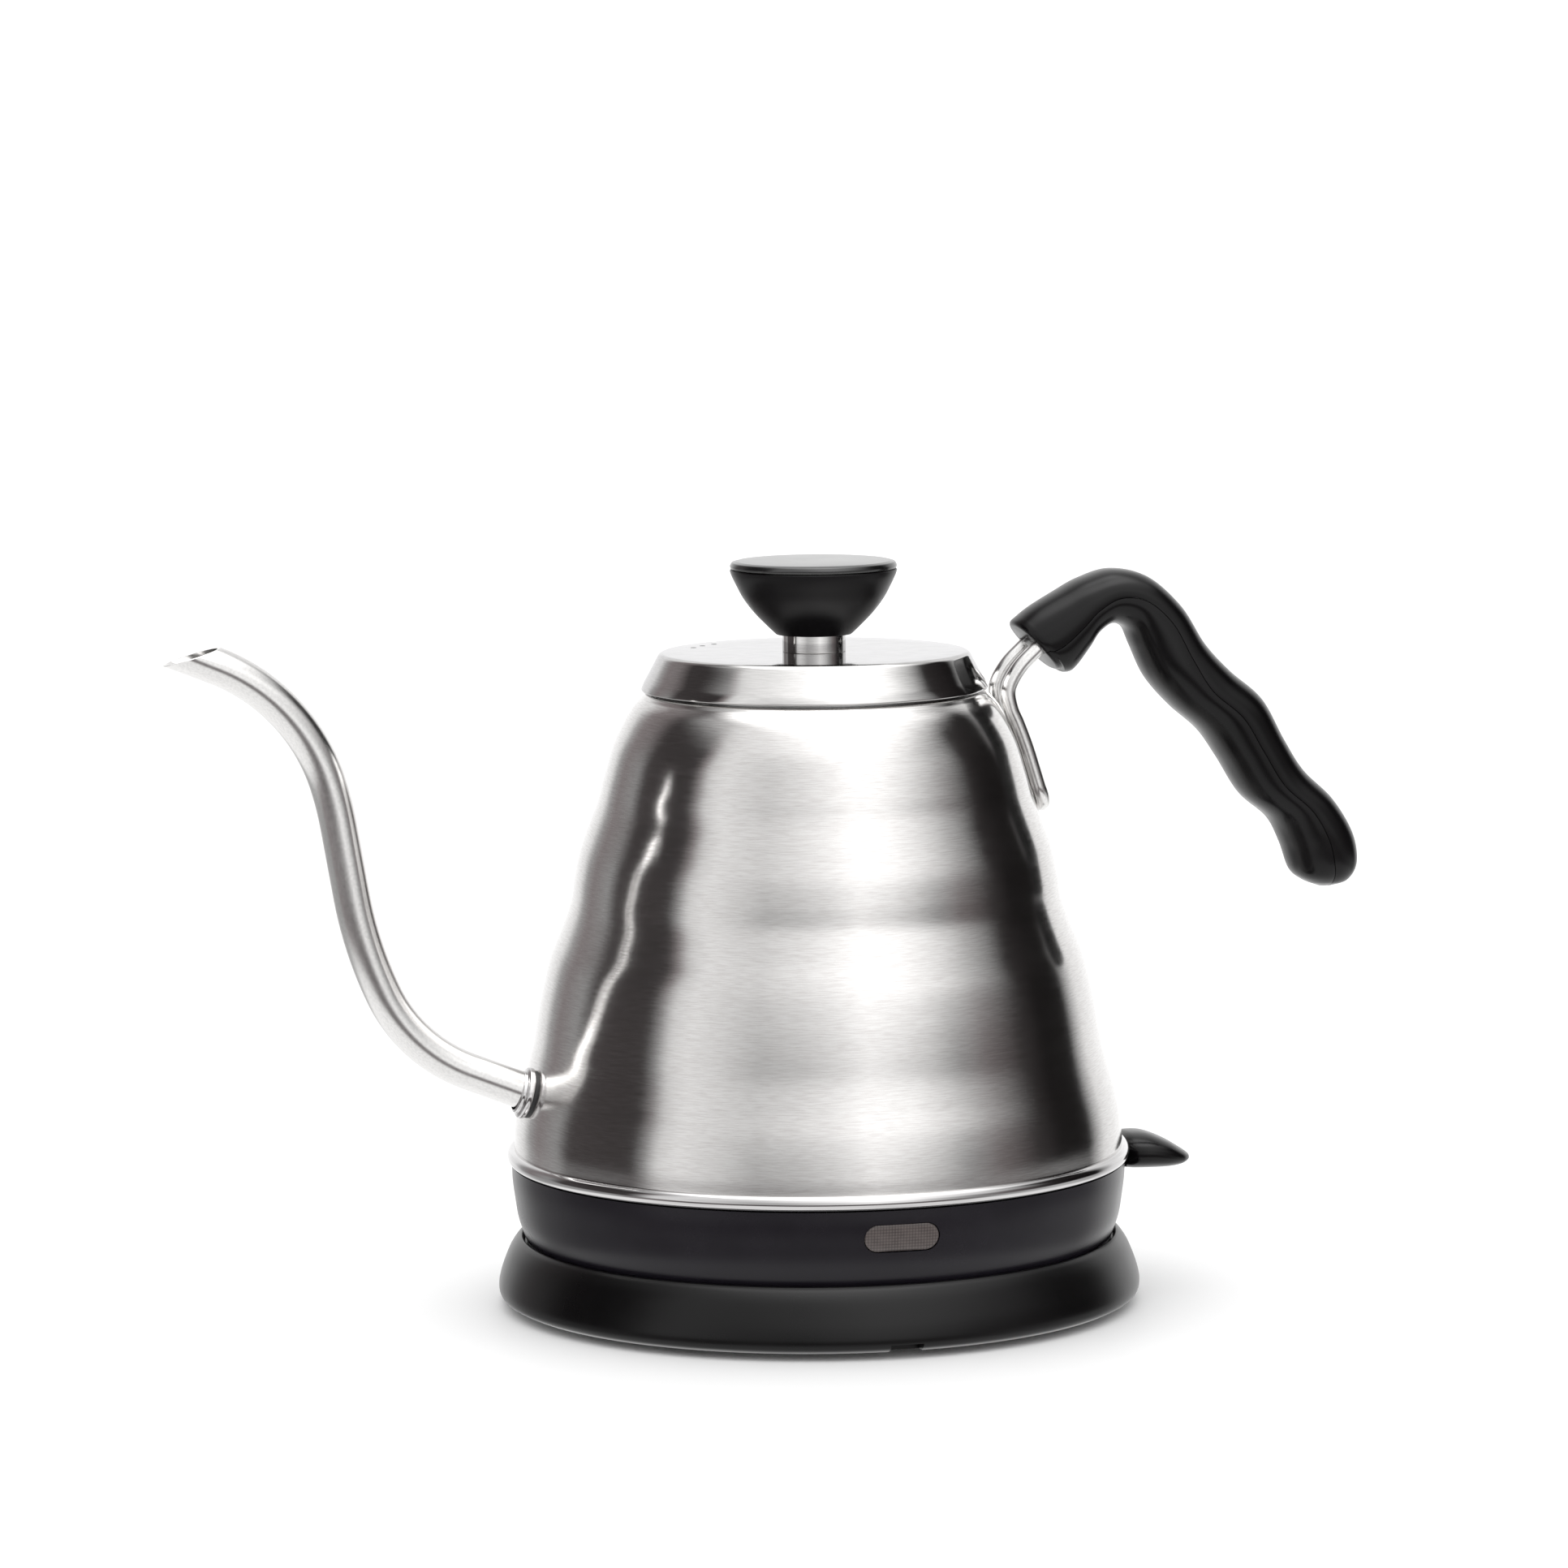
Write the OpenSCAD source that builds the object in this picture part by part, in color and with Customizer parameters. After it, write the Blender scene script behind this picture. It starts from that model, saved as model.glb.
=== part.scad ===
// Electric gooseneck kettle standing on its power base.
// Millimetres, +Z up. The origin is the centre of the base's underside, on the table.
// The handle points to +X and the spout to -X; the lamp window faces -Y.

/* [Body] */
// Wall thickness of the steel body
body_wall = 0.8; // [0.6:0.1:0.9]
// Radius at the middle of the seam ring's bead
seam_r = 69.9; // [69.8:0.1:70.2]
// Height of the middle of the seam ring's bead
seam_z = 34.5; // [34.4:0.1:34.6]
// Radius of the seam ring's bead
seam_bead_r = 1.4; // [1.2:0.1:1.4]

/* [Spout] */
// Outer diameter of the spout tube
spout_d = 8.5; // [8.2:0.1:8.8]
// Wall thickness of the spout tube
spout_wall = 0.6; // [0.5:0.1:0.8]
// Angle at which the spout leaves the body, above level
spout_rise = 22.2; // [22:0.1:22.4]
// Slope of the pouring mouth, below level
mouth_slope = 16; // [14:1:20]

/* [Handle] */
// Diameter of the bracket's steel rod
rod_d = 3.6; // [3.2:0.1:3.8]
// Distance of each leg of the bracket from the middle plane
leg_y = 4.75; // [4.5:0.05:5]
// Squareness of the handle's section, 2 is an ellipse
grip_square = 2.4; // [2:0.1:3]

/* [Lid] */
// Radius of the lid at its rim
lid_r = 39.4; // [39.2:0.1:39.6]
// Radius of the lid's flat top
lid_top_r = 34.8; // [33:0.1:36]
// Height of the lid's flat top
lid_top_z = 149.3; // [148.8:0.1:149.8]
// Radius of the knob at its rim
knob_r = 19; // [18.9:0.1:19.2]
// Radius of the steel neck under the knob
neck_r = 7.2; // [6:0.1:8]

/* [Power base] */
// Greatest radius of the power base
base_r = 73.5; // [73:0.1:74]
// Height of the base's rim above the table
base_rim_z = 15.9; // [15.7:0.1:16]
// Radius of each rubber foot
foot_r = 6; // [5:0.5:7]
// Distance of each foot from the centre
foot_at = 56; // [54:1:58]

/* [Switch] */
// Height of the lever's pivot
lever_z = 29; // [28.8:0.1:29.2]
// Distance of the lever's pivot from the kettle's axis
lever_x = 62; // [61.8:0.1:62.2]
// Clearance round each pivot pin
pin_gap = 0.05; // [0.03:0.01:0.08]

/* [Hidden] */
$fn = 96;
eps = 0.01;

steel = "#c9c8c6";
bright = "#dcdcdc";
black = "#1b1a1d";
matte = "#222224";
copper = "#c8a050";

// Outlines: [radius, height], from the bottom up
body_knots = [[69.6, 36.2], [69.4, 41.5], [68.2, 48], [66.4, 54.5], [64.9, 60.5], [63.9, 66.5],
    [62.6, 73], [60.8, 80], [58.2, 86.5], [56.1, 92.5], [55.2, 98], [53.9, 104], [51.8, 110],
    [49.6, 115.8], [48.2, 121], [46.1, 128], [43.9, 132.8], [41.4, 137], [39.2, 139.4]];
shroud_knots = [[66.9, 14.8], [67.8, 17.2], [68.9, 20.6], [69.6, 25], [70.1, 29], [70.2, 32.6]];
base_knots = [[71.3, 1.5], [73, 2.5], [base_r, 4.4], [73.1, 7], [72.1, 10], [70.9, 12.8],
    [69.6, 14.8], [68.7, 15.7]];
knob_knots = [[8.6, 153.3], [10.6, 155.2], [13.6, 158.3], [16, 161.5], [17.6, 164.5], [18.6, 166.6],
    [knob_r, 167.8]];
lid_side_knots = [[39.2, 140.9], [lid_r, 141.6], [37.4, 145.2], [35.6, 148.6]];

// Spout, from the body to the mouth: [turn in degrees, radius], or [0, length] where straight.
// A turn is positive upward.
spout_root = [-66, 50.4];
spout_path = [[0, 16.8], [43.4, 36.3], [14.8, 91.5], [0, 15.9], [-7.2, 78], [-51, 43.3], [0, 16]];
mouth_at = [-143.4, 152.7];

// Handle sections from the front face to the end:
// [inner x, inner z, outer x, outer z, half width, seam's share from inner to outer]
grip_knots = [
    [57.2, 142.9, 46.9, 154.2, 8.6, 0.42],
    [60.6, 143, 51.2, 157.6, 9, 0.42],
    [64.4, 147.6, 57.6, 161.2, 9.2, 0.42],
    [66.9, 151.4, 63.6, 164.2, 9.2, 0.45],
    [70.3, 153.5, 71, 166.1, 9.2, 0.5],
    [74, 152.2, 79.2, 164.1, 9.3, 0.56],
    [76, 147.8, 87, 157.2, 9.8, 0.62],
    [79.6, 140.4, 92.6, 148.4, 10.6, 0.6],
    [85.4, 133.8, 98.8, 141.8, 10.8, 0.5],
    [92.4, 127.7, 106.4, 135.2, 10.8, 0.5],
    [97.2, 121, 111.8, 125.6, 10.6, 0.5],
    [102.6, 112.5, 116.6, 118.2, 10.4, 0.5],
    [109.4, 106.6, 123.6, 111.4, 10.4, 0.5],
    [112.6, 100.6, 128.6, 103.4, 10.2, 0.5],
    [114.8, 94.4, 129.9, 96.4, 9.2, 0.5],
    [117.6, 91.9, 128, 92.1, 6.4, 0.5],
    [121.2, 90.5, 124.6, 90.6, 2, 0.5]];
grip_points = 13;

// Leg of the bracket, from inside the handle down to the bend: [x, z]
leg_knots = [[61.4, 157.6], [56, 152.6], [51.2, 148.2], [47.2, 144.2], [44.7, 139.6], [45.2, 135.2],
    [46.8, 131.4], [48.7, 126.4], [50.3, 121.4], [51.7, 116.8]];
bend_drop = [0.4, -0.92];

// Lever: [x, lowest z, highest z, half width]
paddle_knots = [[72.4, 27, 34.4, 7.8], [74.4, 26.7, 35, 9.2], [78.4, 26.6, 34.8, 9.8],
    [82.6, 26.6, 33.2, 9], [86, 26.9, 31.2, 6.8], [88.2, 27.6, 29.7, 3.8], [89, 28.3, 28.9, 1.2]];

// Heights and radii inside
plate_t = 2;
plate_bottom = 1.5;
plate_top = plate_bottom + plate_t;
cord_z = 7.8;
cord_r = 3.2;
gland_l = 8.8;
deck_z = 14.3;
deck_t = 2;
turret_r = 15.5;
turret_top = 21;
cover_bottom = 14.6;
pan_z = 37;
lever_lens_z = 26.4;
lens_w = 17;
lens_h = 6.1;
steam_x = 41.6;
frame_z = 16.62;
rocker_x = 47;
rocker_z = 24;
base_screw_spots = [30, 150, 270];
cover_screw_spots = [90, 210, 330];

// Points of a smooth curve through the knots, n steps between neighbours
function curve_at(a, b, c, d, t) =
    0.5 * (2 * b + (c - a) * t + (2 * a - 5 * b + 4 * c - d) * t * t
    + (3 * b - a - 3 * c + d) * t * t * t);
function smooth(knots, n) = concat(
    [for (i = [0 : len(knots) - 2]) for (j = [0 : n - 1])
        curve_at(knots[max(i - 1, 0)], knots[i], knots[i + 1],
            knots[min(i + 2, len(knots) - 1)], j / n)],
    [knots[len(knots) - 1]]);

function reversed(list) = [for (i = [len(list) - 1 : -1 : 0]) list[i]];

// An outline moved inward by t, square to itself
function inset(outline, t) = [for (i = [0 : len(outline) - 1])
    let (run = outline[min(i + 1, len(outline) - 1)] - outline[max(i - 1, 0)])
    outline[i] + t / norm(run) * [-run[1], run[0]]];

// A solid skinned over a list of rings with the same number of points
module loft(rings) {
    n = len(rings[0]);
    last = len(rings) - 1;
    polyhedron(
        points = [for (ring = rings) each ring],
        faces = concat(
            [[for (k = [0 : n - 1]) k]],
            [for (i = [0 : last - 1]) for (k = [0 : n - 1]) each let (
                a = i * n + k, b = i * n + (k + 1) % n)
                [[a, a + n, b], [b, a + n, b + n]]],
            [[for (k = [n - 1 : -1 : 0]) last * n + k]]),
        convexity = 6);
}

// Rings of a round bar that follows a path; up is a direction that the path never takes
function bar_rings(path, r, sides, up) = let (last = len(path) - 1) [for (i = [0 : last])
    let (run = path[min(i + 1, last)] - path[max(i - 1, 0)],
        side = cross(run, up) / norm(cross(run, up)),
        rise = cross(side, run) / norm(run))
    [for (k = [0 : sides - 1]) path[i] + r * (cos(360 * k / sides) * side
        + sin(360 * k / sides) * rise)]];

module pipe(path, r, sides, up) {
    loft(bar_rings(path, r, sides, up));
}

// A solid skinned over rings that come back round to the first one
module loft_loop(rings) {
    n = len(rings[0]);
    m = len(rings);
    polyhedron(
        points = [for (ring = rings) each ring],
        faces = [for (i = [0 : m - 1]) for (k = [0 : n - 1]) each let (
            a = i * n + k, b = i * n + (k + 1) % n,
            c = (i + 1) % m * n + k, d = (i + 1) % m * n + (k + 1) % n)
            [[a, c, b], [b, c, d]]],
        convexity = 10);
}

module revolve(outline) {
    rotate_extrude() polygon(outline);
}

module shell_of(outline, t) {
    revolve(concat(outline, reversed(inset(outline, t))));
}

module ring(r_out, r_in, z0, z1) {
    translate([0, 0, z0]) difference() {
        cylinder(r = r_out, h = z1 - z0);
        translate([0, 0, -1]) cylinder(r = r_in, h = z1 - z0 + 2);
    }
}

module at_spots(angles, r) {
    for (a = angles) rotate([0, 0, a]) translate([r, 0, 0]) children();
}

// A countersunk screw, head down, its head's face at z
module screw_up(z, head_r, shank_r, length) {
    translate([0, 0, z]) difference() {
        union() {
            cylinder(r1 = head_r, r2 = shank_r, h = head_r - shank_r);
            cylinder(r = shank_r, h = length);
        }
        translate([0, 0, -eps]) cube([head_r * 1.2, 0.7, 1.6], center = true);
        translate([0, 0, -eps]) cube([0.7, head_r * 1.2, 1.6], center = true);
    }
}

module stadium(w, h, grow = 0) {
    for (s = [-1, 1]) translate([s * (w - h) / 2, 0]) circle(h / 2 + grow);
    square([w - h, h + 2 * grow], center = true);
}

// ---- Power base ----

module base_cover() {
    outer = smooth(base_knots, 4);
    rim = [[68.3, base_rim_z], [67.9, 15.6], [67.6, deck_z]];
    hole = turret_r + 0.2;
    under = [[hole, deck_z], [hole, deck_z - deck_t], [64, deck_z - deck_t], [68.4, 11.6],
        [70.3, 8], [71.2, 4.6], [70.6, plate_top + 0.2], [69.4, plate_top + 0.1],
        [69.4, plate_bottom]];
    color(matte) {
        difference() {
            revolve(concat(outer, rim, under));
            translate([0, -71, 2]) cube([7.5, 6, 3], center = true);
            translate([0, 60, cord_z]) rotate([-90, 0, 0]) cylinder(r = 4.25, h = 16);
        }
        at_spots(base_screw_spots, 50) difference() {
            translate([0, 0, plate_top]) cylinder(r = 4, h = deck_z - deck_t - plate_top + eps);
            translate([0, 0, plate_top - 1]) cylinder(r = 1.5, h = 7);
        }
    }
}

module base_plate() {
    color(black) difference() {
        translate([0, 0, plate_bottom]) cylinder(r = 69.2, h = plate_t);
        at_spots(base_screw_spots, 50) translate([0, 0, plate_bottom - eps]) {
            cylinder(r1 = 3.1, r2 = 1.7, h = 1.4);
            cylinder(r = 1.7, h = 3);
        }
        at_spots([40 : 20 : 140], 32) translate([0, 0, plate_bottom - 1]) cylinder(r = 1.5, h = 4);
    }
}

module foot() {
    cylinder(r1 = foot_r - 0.4, r2 = foot_r, h = 0.4);
    translate([0, 0, 0.4]) cylinder(r = foot_r, h = plate_bottom - 0.4);
}

module base_feet() {
    color("#2d2d2f") {
        at_spots([45 : 90 : 315], foot_at) foot();
        foot();
    }
}

module base_screws() {
    color(steel) at_spots(base_screw_spots, 50) screw_up(plate_bottom, 3, 1.5, 7.8);
}

module base_socket() {
    color(black) difference() {
        union() {
            translate([0, 0, plate_top]) cylinder(r = turret_r, h = turret_top - plate_top);
            translate([0, 0, plate_top]) cylinder(r = 19, h = 2.5);
        }
        translate([0, 0, 8]) cylinder(r = 2.6, h = 20);
        ring(8.6, 5.8, 10, 30);
        ring(13.4, 10.6, 10, 30);
    }
}

module socket_contacts() {
    color(copper) {
        rotate([0, 0, 90]) translate([8, -1.5, 10]) cube([0.4, 3, 9]);
        rotate([0, 0, 210]) translate([12.8, -1.5, 10]) cube([0.4, 3, 9]);
        translate([0, 0, 8]) cylinder(r = 2.2, h = 1.2);
    }
}

module cord_gland() {
    color(black) translate([0, 64, cord_z]) rotate([-90, 0, 0]) difference() {
        cylinder(r = 4.2, h = gland_l);
        translate([0, 0, -1]) cylinder(r = cord_r, h = gland_l + 2);
    }
}

module cord_clamp() {
    color("#d8d4c8") translate([0, 56, 0]) difference() {
        translate([-9, -3, plate_top]) cube([18, 6, 7.5]);
        translate([-cord_r, -4, plate_top - 1]) cube([2 * cord_r, 8, 6]);
        for (x = [-6.4, 6.4]) translate([x, 0, plate_top - 1]) cylinder(r = 1.25, h = 12);
    }
}

module clamp_screws() {
    color(steel) for (x = [-6.4, 6.4]) translate([x, 56, plate_top + 0.2]) {
        cylinder(r = 1.2, h = 7.3);
        translate([0, 0, 7.3]) cylinder(r = 2.2, h = 0.8);
    }
}

// ---- Plug under the kettle ----

module plug_housing() {
    skirt = turret_r + 0.7;
    color(black) difference() {
        union() {
            ring(17.4, skirt, 16.6, 24);
            translate([0, 0, 22.6]) cylinder(r = 17.4, h = 3.4);
        }
        translate([0, 0, 20]) cylinder(r = 1.9, h = 8);
        ring(7.5, 6.7, 20, 24.5);
        ring(12.3, 11.5, 20, 24.5);
    }
}

module plug_rings() {
    color(copper) {
        ring(7.5, 6.7, 13, 24.5);
        ring(12.3, 11.5, 13, 24.5);
    }
}

module plug_pin() {
    color(copper) translate([0, 0, 11.5]) {
        cylinder(r = 1.9, h = 15.5);
        sphere(r = 1.9);
    }
}

// ---- Kettle ----

// The line that the spout follows
function heading(i) = i == 0 ? spout_rise : heading(i - 1) + spout_path[i - 1][0];
function stride(a, s) = s[0] == 0 ? s[1] * [-cos(a), sin(a)]
    : sign(s[0]) * s[1] * [sin(a) - sin(a + s[0]), cos(a) - cos(a + s[0])];
function spot(i) = i == 0 ? spout_root : spot(i - 1) + stride(heading(i - 1), spout_path[i - 1]);

module along_spout(at = 0) {
    translate([spout_root[0], 0, spout_root[1]]) rotate([0, spout_rise - 90, 0])
        translate([0, 0, at]) children();
}

// The spout's line as points
function bend_steps(s) = s[0] == 0 ? 1 : ceil(abs(s[0]) / 5);
spout_line = [for (p = concat(
    [for (i = [0 : len(spout_path) - 1]) let (s = spout_path[i], n = bend_steps(s))
        for (k = [0 : n - 1])
            k == 0 ? spot(i) : spot(i) + stride(heading(i), [s[0] * k / n, s[1]])],
    [spot(len(spout_path))])) [p[0], 0, p[1]]];

// Moves a point along the end of the spout until it lies on the slanting mouth
function to_mouth(p) = let (
    way = heading(len(spout_path)),
    along = [-cos(way), 0, sin(way)],
    square_to = [-sin(mouth_slope), 0, cos(mouth_slope)])
    p + along * (square_to * ([mouth_at[0], 0, mouth_at[1]] - p)) / (square_to * along);

function spout_rings(r) = let (rings = bar_rings(spout_line, r, 20, [0, 1, 0]), last = len(rings) - 1)
    [for (i = [0 : last]) i == last ? [for (p = rings[i]) to_mouth(p)] : rings[i]];

module spout_tube() {
    color(steel) loft_loop(concat(
        spout_rings(spout_d / 2), reversed(spout_rings(spout_d / 2 - spout_wall))));
}

module spout_collar() {
    bore = spout_d / 2 + 0.02;
    color(bright) along_spout(2.6) rotate_extrude() difference() {
        union() {
            translate([bore, 0]) square([1, 3.2]);
            translate([bore + 0.75, 0.85]) circle(0.85);
        }
        translate([-1, -2]) square([bore + 1, 8]);
    }
}

module body_shell() {
    outer = smooth(body_knots, 5);
    mouth = [[37.7, 140.2], [37.2, 140.1], [37.2, 139.2], [37.9, 138.7]];
    inner = reversed(inset(outer, body_wall));
    color(steel) difference() {
        revolve(concat(outer, mouth, [for (p = inner) if (p[1] < 138.2) p]));
        along_spout(-4) cylinder(r = spout_d / 2 + 0.05, h = 12);
    }
}

module floor_pan() {
    color(steel) difference() {
        union() {
            translate([0, 0, pan_z]) cylinder(r = 68.2, h = 0.8);
            ring(68.2, 67.4, 33.4, pan_z + eps);
        }
        translate([steam_x, 0, pan_z - 1]) cylinder(r = 3.05, h = 3);
    }
}

module seam_ring() {
    color(bright) rotate_extrude() difference() {
        translate([seam_r, seam_z]) circle(seam_bead_r);
        translate([68, 30]) square([0.3, 8]);
    }
}

module weld_plate() {
    color(steel) intersection() {
        revolve(concat(inset(smooth(body_knots, 5), -0.04),
            reversed(inset(smooth(body_knots, 5), -0.55))));
        translate([30, 0, 0]) rotate([0, 90, 0]) linear_extrude(40) hull() {
            translate([-133, 0]) circle(7.6);
            translate([-114, 0]) circle(6);
        }
    }
}

// The bracket's rod as one path: down one leg, round the bend and up the other
function leg(side) = [for (p = smooth(leg_knots, 3)) [p[0], side * leg_y, p[1]]];
function bend(steps) = let (foot = leg_knots[len(leg_knots) - 1])
    [for (k = [1 : steps - 1]) let (t = 180 * k / steps)
        [foot[0] + bend_drop[0] * leg_y * sin(t), -leg_y * cos(t),
        foot[1] + bend_drop[1] * leg_y * sin(t)]];

module handle_bracket() {
    color(steel) pipe(concat(leg(-1), bend(10), reversed(leg(1))), rod_d / 2, 14, [0.92, 0, 0.4]);
}

// Handle section at share e across the seam; flip chooses the outer or the inner half
function bulge(v) = sign(v) * pow(abs(v), 2 / grip_square);
function grip_ring(k, side) =
    let (inner = [k[0], k[1]], outer = [k[2], k[3]], mid = (inner + outer) / 2,
        half = (outer - inner) / 2, seam = 2 * k[5] - 1,
        from = asin(sign(seam) * pow(abs(seam), grip_square / 2)),
        a0 = side > 0 ? from : 180 - from, a1 = side > 0 ? 180 - from : 360 + from)
    [for (i = [0 : grip_points]) let (a = a0 + (a1 - a0) * i / grip_points,
        p = mid + bulge(sin(a)) * half) [p[0], k[4] * bulge(cos(a)), p[1]]];

module grip_half(side) {
    difference() {
        loft([for (k = smooth(grip_knots, 3)) grip_ring(k, side)]);
        for (y = [-leg_y, leg_y]) into_handle(y) cylinder(d = rod_d + 0.1, h = 20);
        into_handle(0) cylinder(r = 1.3, h = 17);
        into_handle(0) cylinder(r = 2.5, h = 6.6);
    }
}

// Along the rods where they enter the handle
module into_handle(y) {
    foot = leg_knots[2];
    end = leg_knots[0];
    translate([foot[0], y, foot[1]]) rotate([0, atan2(end[0] - foot[0], end[1] - foot[1]), 0])
        translate([0, 0, -5]) children();
}

module handle_upper() {
    color(black) grip_half(1);
}

module handle_lower() {
    color(black) grip_half(-1);
}

module handle_screw() {
    color(steel) into_handle(0) translate([0, 0, 5]) {
        difference() {
            cylinder(r = 2.4, h = 1.6);
            translate([0, 0, -eps]) cube([3, 0.6, 1.2], center = true);
            translate([0, 0, -eps]) cube([0.6, 3, 1.2], center = true);
        }
        translate([0, 0, 1.6]) cylinder(r = 1.25, h = 9);
    }
}

module lens_cut(grow) {
    translate([0, -60, lever_lens_z]) rotate([90, 0, 0]) linear_extrude(14)
        stadium(lens_w, lens_h, grow);
}

module shroud() {
    outer = smooth(shroud_knots, 4);
    color(black) {
        difference() {
            shell_of(outer, 2);
            lens_cut(0.1);
            translate([66, -6, 25]) cube([8, 12, 10]);
        }
        at_spots(cover_screw_spots, 61.5) difference() {
            union() {
                translate([0, 0, 16.8]) cylinder(r = 3.6, h = 14);
                translate([0, -1, 20]) cube([6, 2, 10]);
            }
            translate([0, 0, 16]) cylinder(r = 1.3, h = 10);
        }
    }
}

module kettle_cover() {
    color(black) difference() {
        union() {
            translate([0, 0, cover_bottom + 0.2]) cylinder(r = 64.6, h = 1.8);
            ring(20, 17.8, cover_bottom + 0.2, 20);
        }
        translate([0, 0, 10]) cylinder(r = 17.8, h = 12);
        at_spots(cover_screw_spots, 61.5) translate([0, 0, cover_bottom + 0.2 - eps]) {
            cylinder(r1 = 2.7, r2 = 1.4, h = 1.3);
            cylinder(r = 1.4, h = 3);
        }
    }
}

module cover_screws() {
    color(steel) at_spots(cover_screw_spots, 61.5) screw_up(cover_bottom + 0.25, 2.6, 1.3, 8);
}

module lamp_lens() {
    outer = inset(smooth(shroud_knots, 4), 0.25);
    color("#5b5552") {
        intersection() {
            shell_of(outer, 1.9);
            lens_cut(0);
        }
    }
}

module lamp_bulb() {
    color("#e8d9c8", 0.6) translate([0, -62, lever_lens_z]) rotate([0, 90, 0]) {
        translate([0, 0, -5]) cylinder(r = 2.2, h = 10);
        translate([0, 0, 5]) sphere(r = 2.2);
    }
}

module lamp_holder() {
    color("#d8d4c8") difference() {
        translate([-8, -59.4, frame_z]) cube([16, 2.4, 13.4]);
        for (x = [-3, 3]) translate([x, -60, lever_lens_z]) rotate([-90, 0, 0])
            cylinder(r = 0.95, h = 6);
    }
}

module lamp_leads() {
    color("#b03028") for (s = [-1, 1]) pipe([for (p = smooth([[3, -56.6], [4.5, -50], [9, -42],
        [10, -34], [7, -23.4]], 3)) [s * p[0], p[1], 25]], 0.8, 8, [0, 0, 1]);
}

module heat_spreader() {
    color("#b8bbbd") translate([0, 0, 33.6]) cylinder(r = 36, h = pan_z - 33.6 - 0.02);
}

module heating_element() {
    color("#8f8a84") translate([0, 0, 30.2]) rotate([0, 0, 110]) rotate_extrude(angle = 320)
        translate([29, 0]) circle(3.3);
}

module element_pins() {
    color(bright) for (a = [106, 74]) rotate([0, 0, a]) translate([29, 0, 19]) {
        cylinder(r = 1.4, h = 11);
        translate([0, 0, -2]) cylinder(r = 0.9, h = 2);
    }
}

module control_unit() {
    color("#e4e0d4") difference() {
        translate([0, 0, 20.1]) cylinder(r = 23, h = 11.9);
        translate([0, 0, 16]) cylinder(r = 17.8, h = 10.4);
        translate([0, 0, 26]) cylinder(r = 2.4, h = 2.2);
    }
}

module thermal_discs() {
    color("#a8a49c") for (x = [-11, 11]) translate([x, 0, 32.02]) cylinder(r = 6, h = 0.9);
}

module steam_tube() {
    color(steel) translate([steam_x, 0, 0]) ring(3, 2.4, 31.4, 126);
}

module steam_grommet() {
    color("#7c6f66") translate([steam_x, 0, 0]) ring(4.8, 3.05, pan_z - 3.2, pan_z - 0.02);
}

module steam_disc() {
    color("#a8a49c") translate([steam_x, 0, 30.2]) cylinder(r = 4.2, h = 0.5);
}

module switch_frame() {
    color("#3a3a3c") difference() {
        union() {
            for (s = [-1, 1]) {
                translate([34.6, s * 9 - 1, frame_z]) cube([28.8, 2, 14.6]);
                translate([lever_x, s * 9 - 1, lever_z]) rotate([-90, 0, 0])
                    cylinder(r = 3.2, h = 2);
            }
            translate([34.6, -10, frame_z]) cube([28.8, 20, 1.6]);
            translate([34.9, -8.2, 28.4]) cube([10.3, 16.4, 1.6]);
        }
        translate([lever_x, -12, lever_z]) rotate([-90, 0, 0]) cylinder(r = 1.5, h = 24);
        translate([rocker_x, -12, rocker_z]) rotate([-90, 0, 0]) cylinder(r = 1.2, h = 24);
    }
}

module lever_pin() {
    color(steel) translate([lever_x, -10, lever_z]) rotate([-90, 0, 0]) cylinder(r = 1.5, h = 20);
}

module rocker_pin() {
    color(steel) translate([rocker_x, -10, rocker_z]) rotate([-90, 0, 0])
        cylinder(r = 1.2, h = 20);
}

module fixed_contacts() {
    color(copper) for (s = [-1, 1]) translate([36, s * 5 - 1, frame_z + 1.62]) cube([5, 2, 1.6]);
}

// ---- Lid ----

module lid_liner() {
    color(steel) difference() {
        union() {
            ring(36.6, 36, 130, 141.6);
            translate([0, 0, 141]) cylinder(r = 36.6, h = 0.6);
        }
        translate([0, 0, 140]) cylinder(r = 6, h = 3);
    }
}

module lid_cover() {
    side = smooth(lid_side_knots, 3);
    crown = [[lid_top_r, lid_top_z - 0.1], [lid_top_r - 0.6, lid_top_z], [2.2, lid_top_z],
        [2.2, lid_top_z - 0.7], [lid_top_r - 0.8, lid_top_z - 0.7]];
    color(steel) difference() {
        revolve(concat(side, crown, [for (p = reversed(inset(side, 0.7))) if (p[1] < 148.3) p]));
        at_spots([126, 135, 144], 29.5) translate([0, 0, lid_top_z - 2]) cylinder(r = 0.7, h = 4);
    }
}

module knob_neck() {
    color(steel) ring(neck_r, 2.1, lid_top_z + 0.01, 153.29);
}

module knob_bowl() {
    bowl = smooth(knob_knots, 4);
    color(black) revolve(concat([[2.1, 153.3]], bowl, [[18.9, 168.1], [17.9, 168.1], [17.9, 167.7],
        [2.1, 167.7]]));
}

module knob_cap() {
    color(black) revolve([[0, 167.72], [17.8, 167.72], [17.8, 168.3], [18.95, 168.3],
        [knob_r, 168.9], [18.7, 169.6], [17.9, 169.95], [0, 170.1]]);
}

module knob_screw() {
    color(steel) translate([0, 0, 146.4]) difference() {
        union() {
            cylinder(r = 4, h = 2.18);
            cylinder(r = 2, h = 18);
        }
        translate([0, 0, -eps]) cube([5, 0.8, 1.8], center = true);
        translate([0, 0, -eps]) cube([0.8, 5, 1.8], center = true);
    }
}

// ---- Switch ----

function paddle_ring(k, n) = [for (i = [0 : n - 1]) let (a = 360 * i / n)
    [k[0], k[3] * bulge(cos(a)), (k[1] + k[2]) / 2 + (k[2] - k[1]) / 2 * bulge(sin(a))]];

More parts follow.
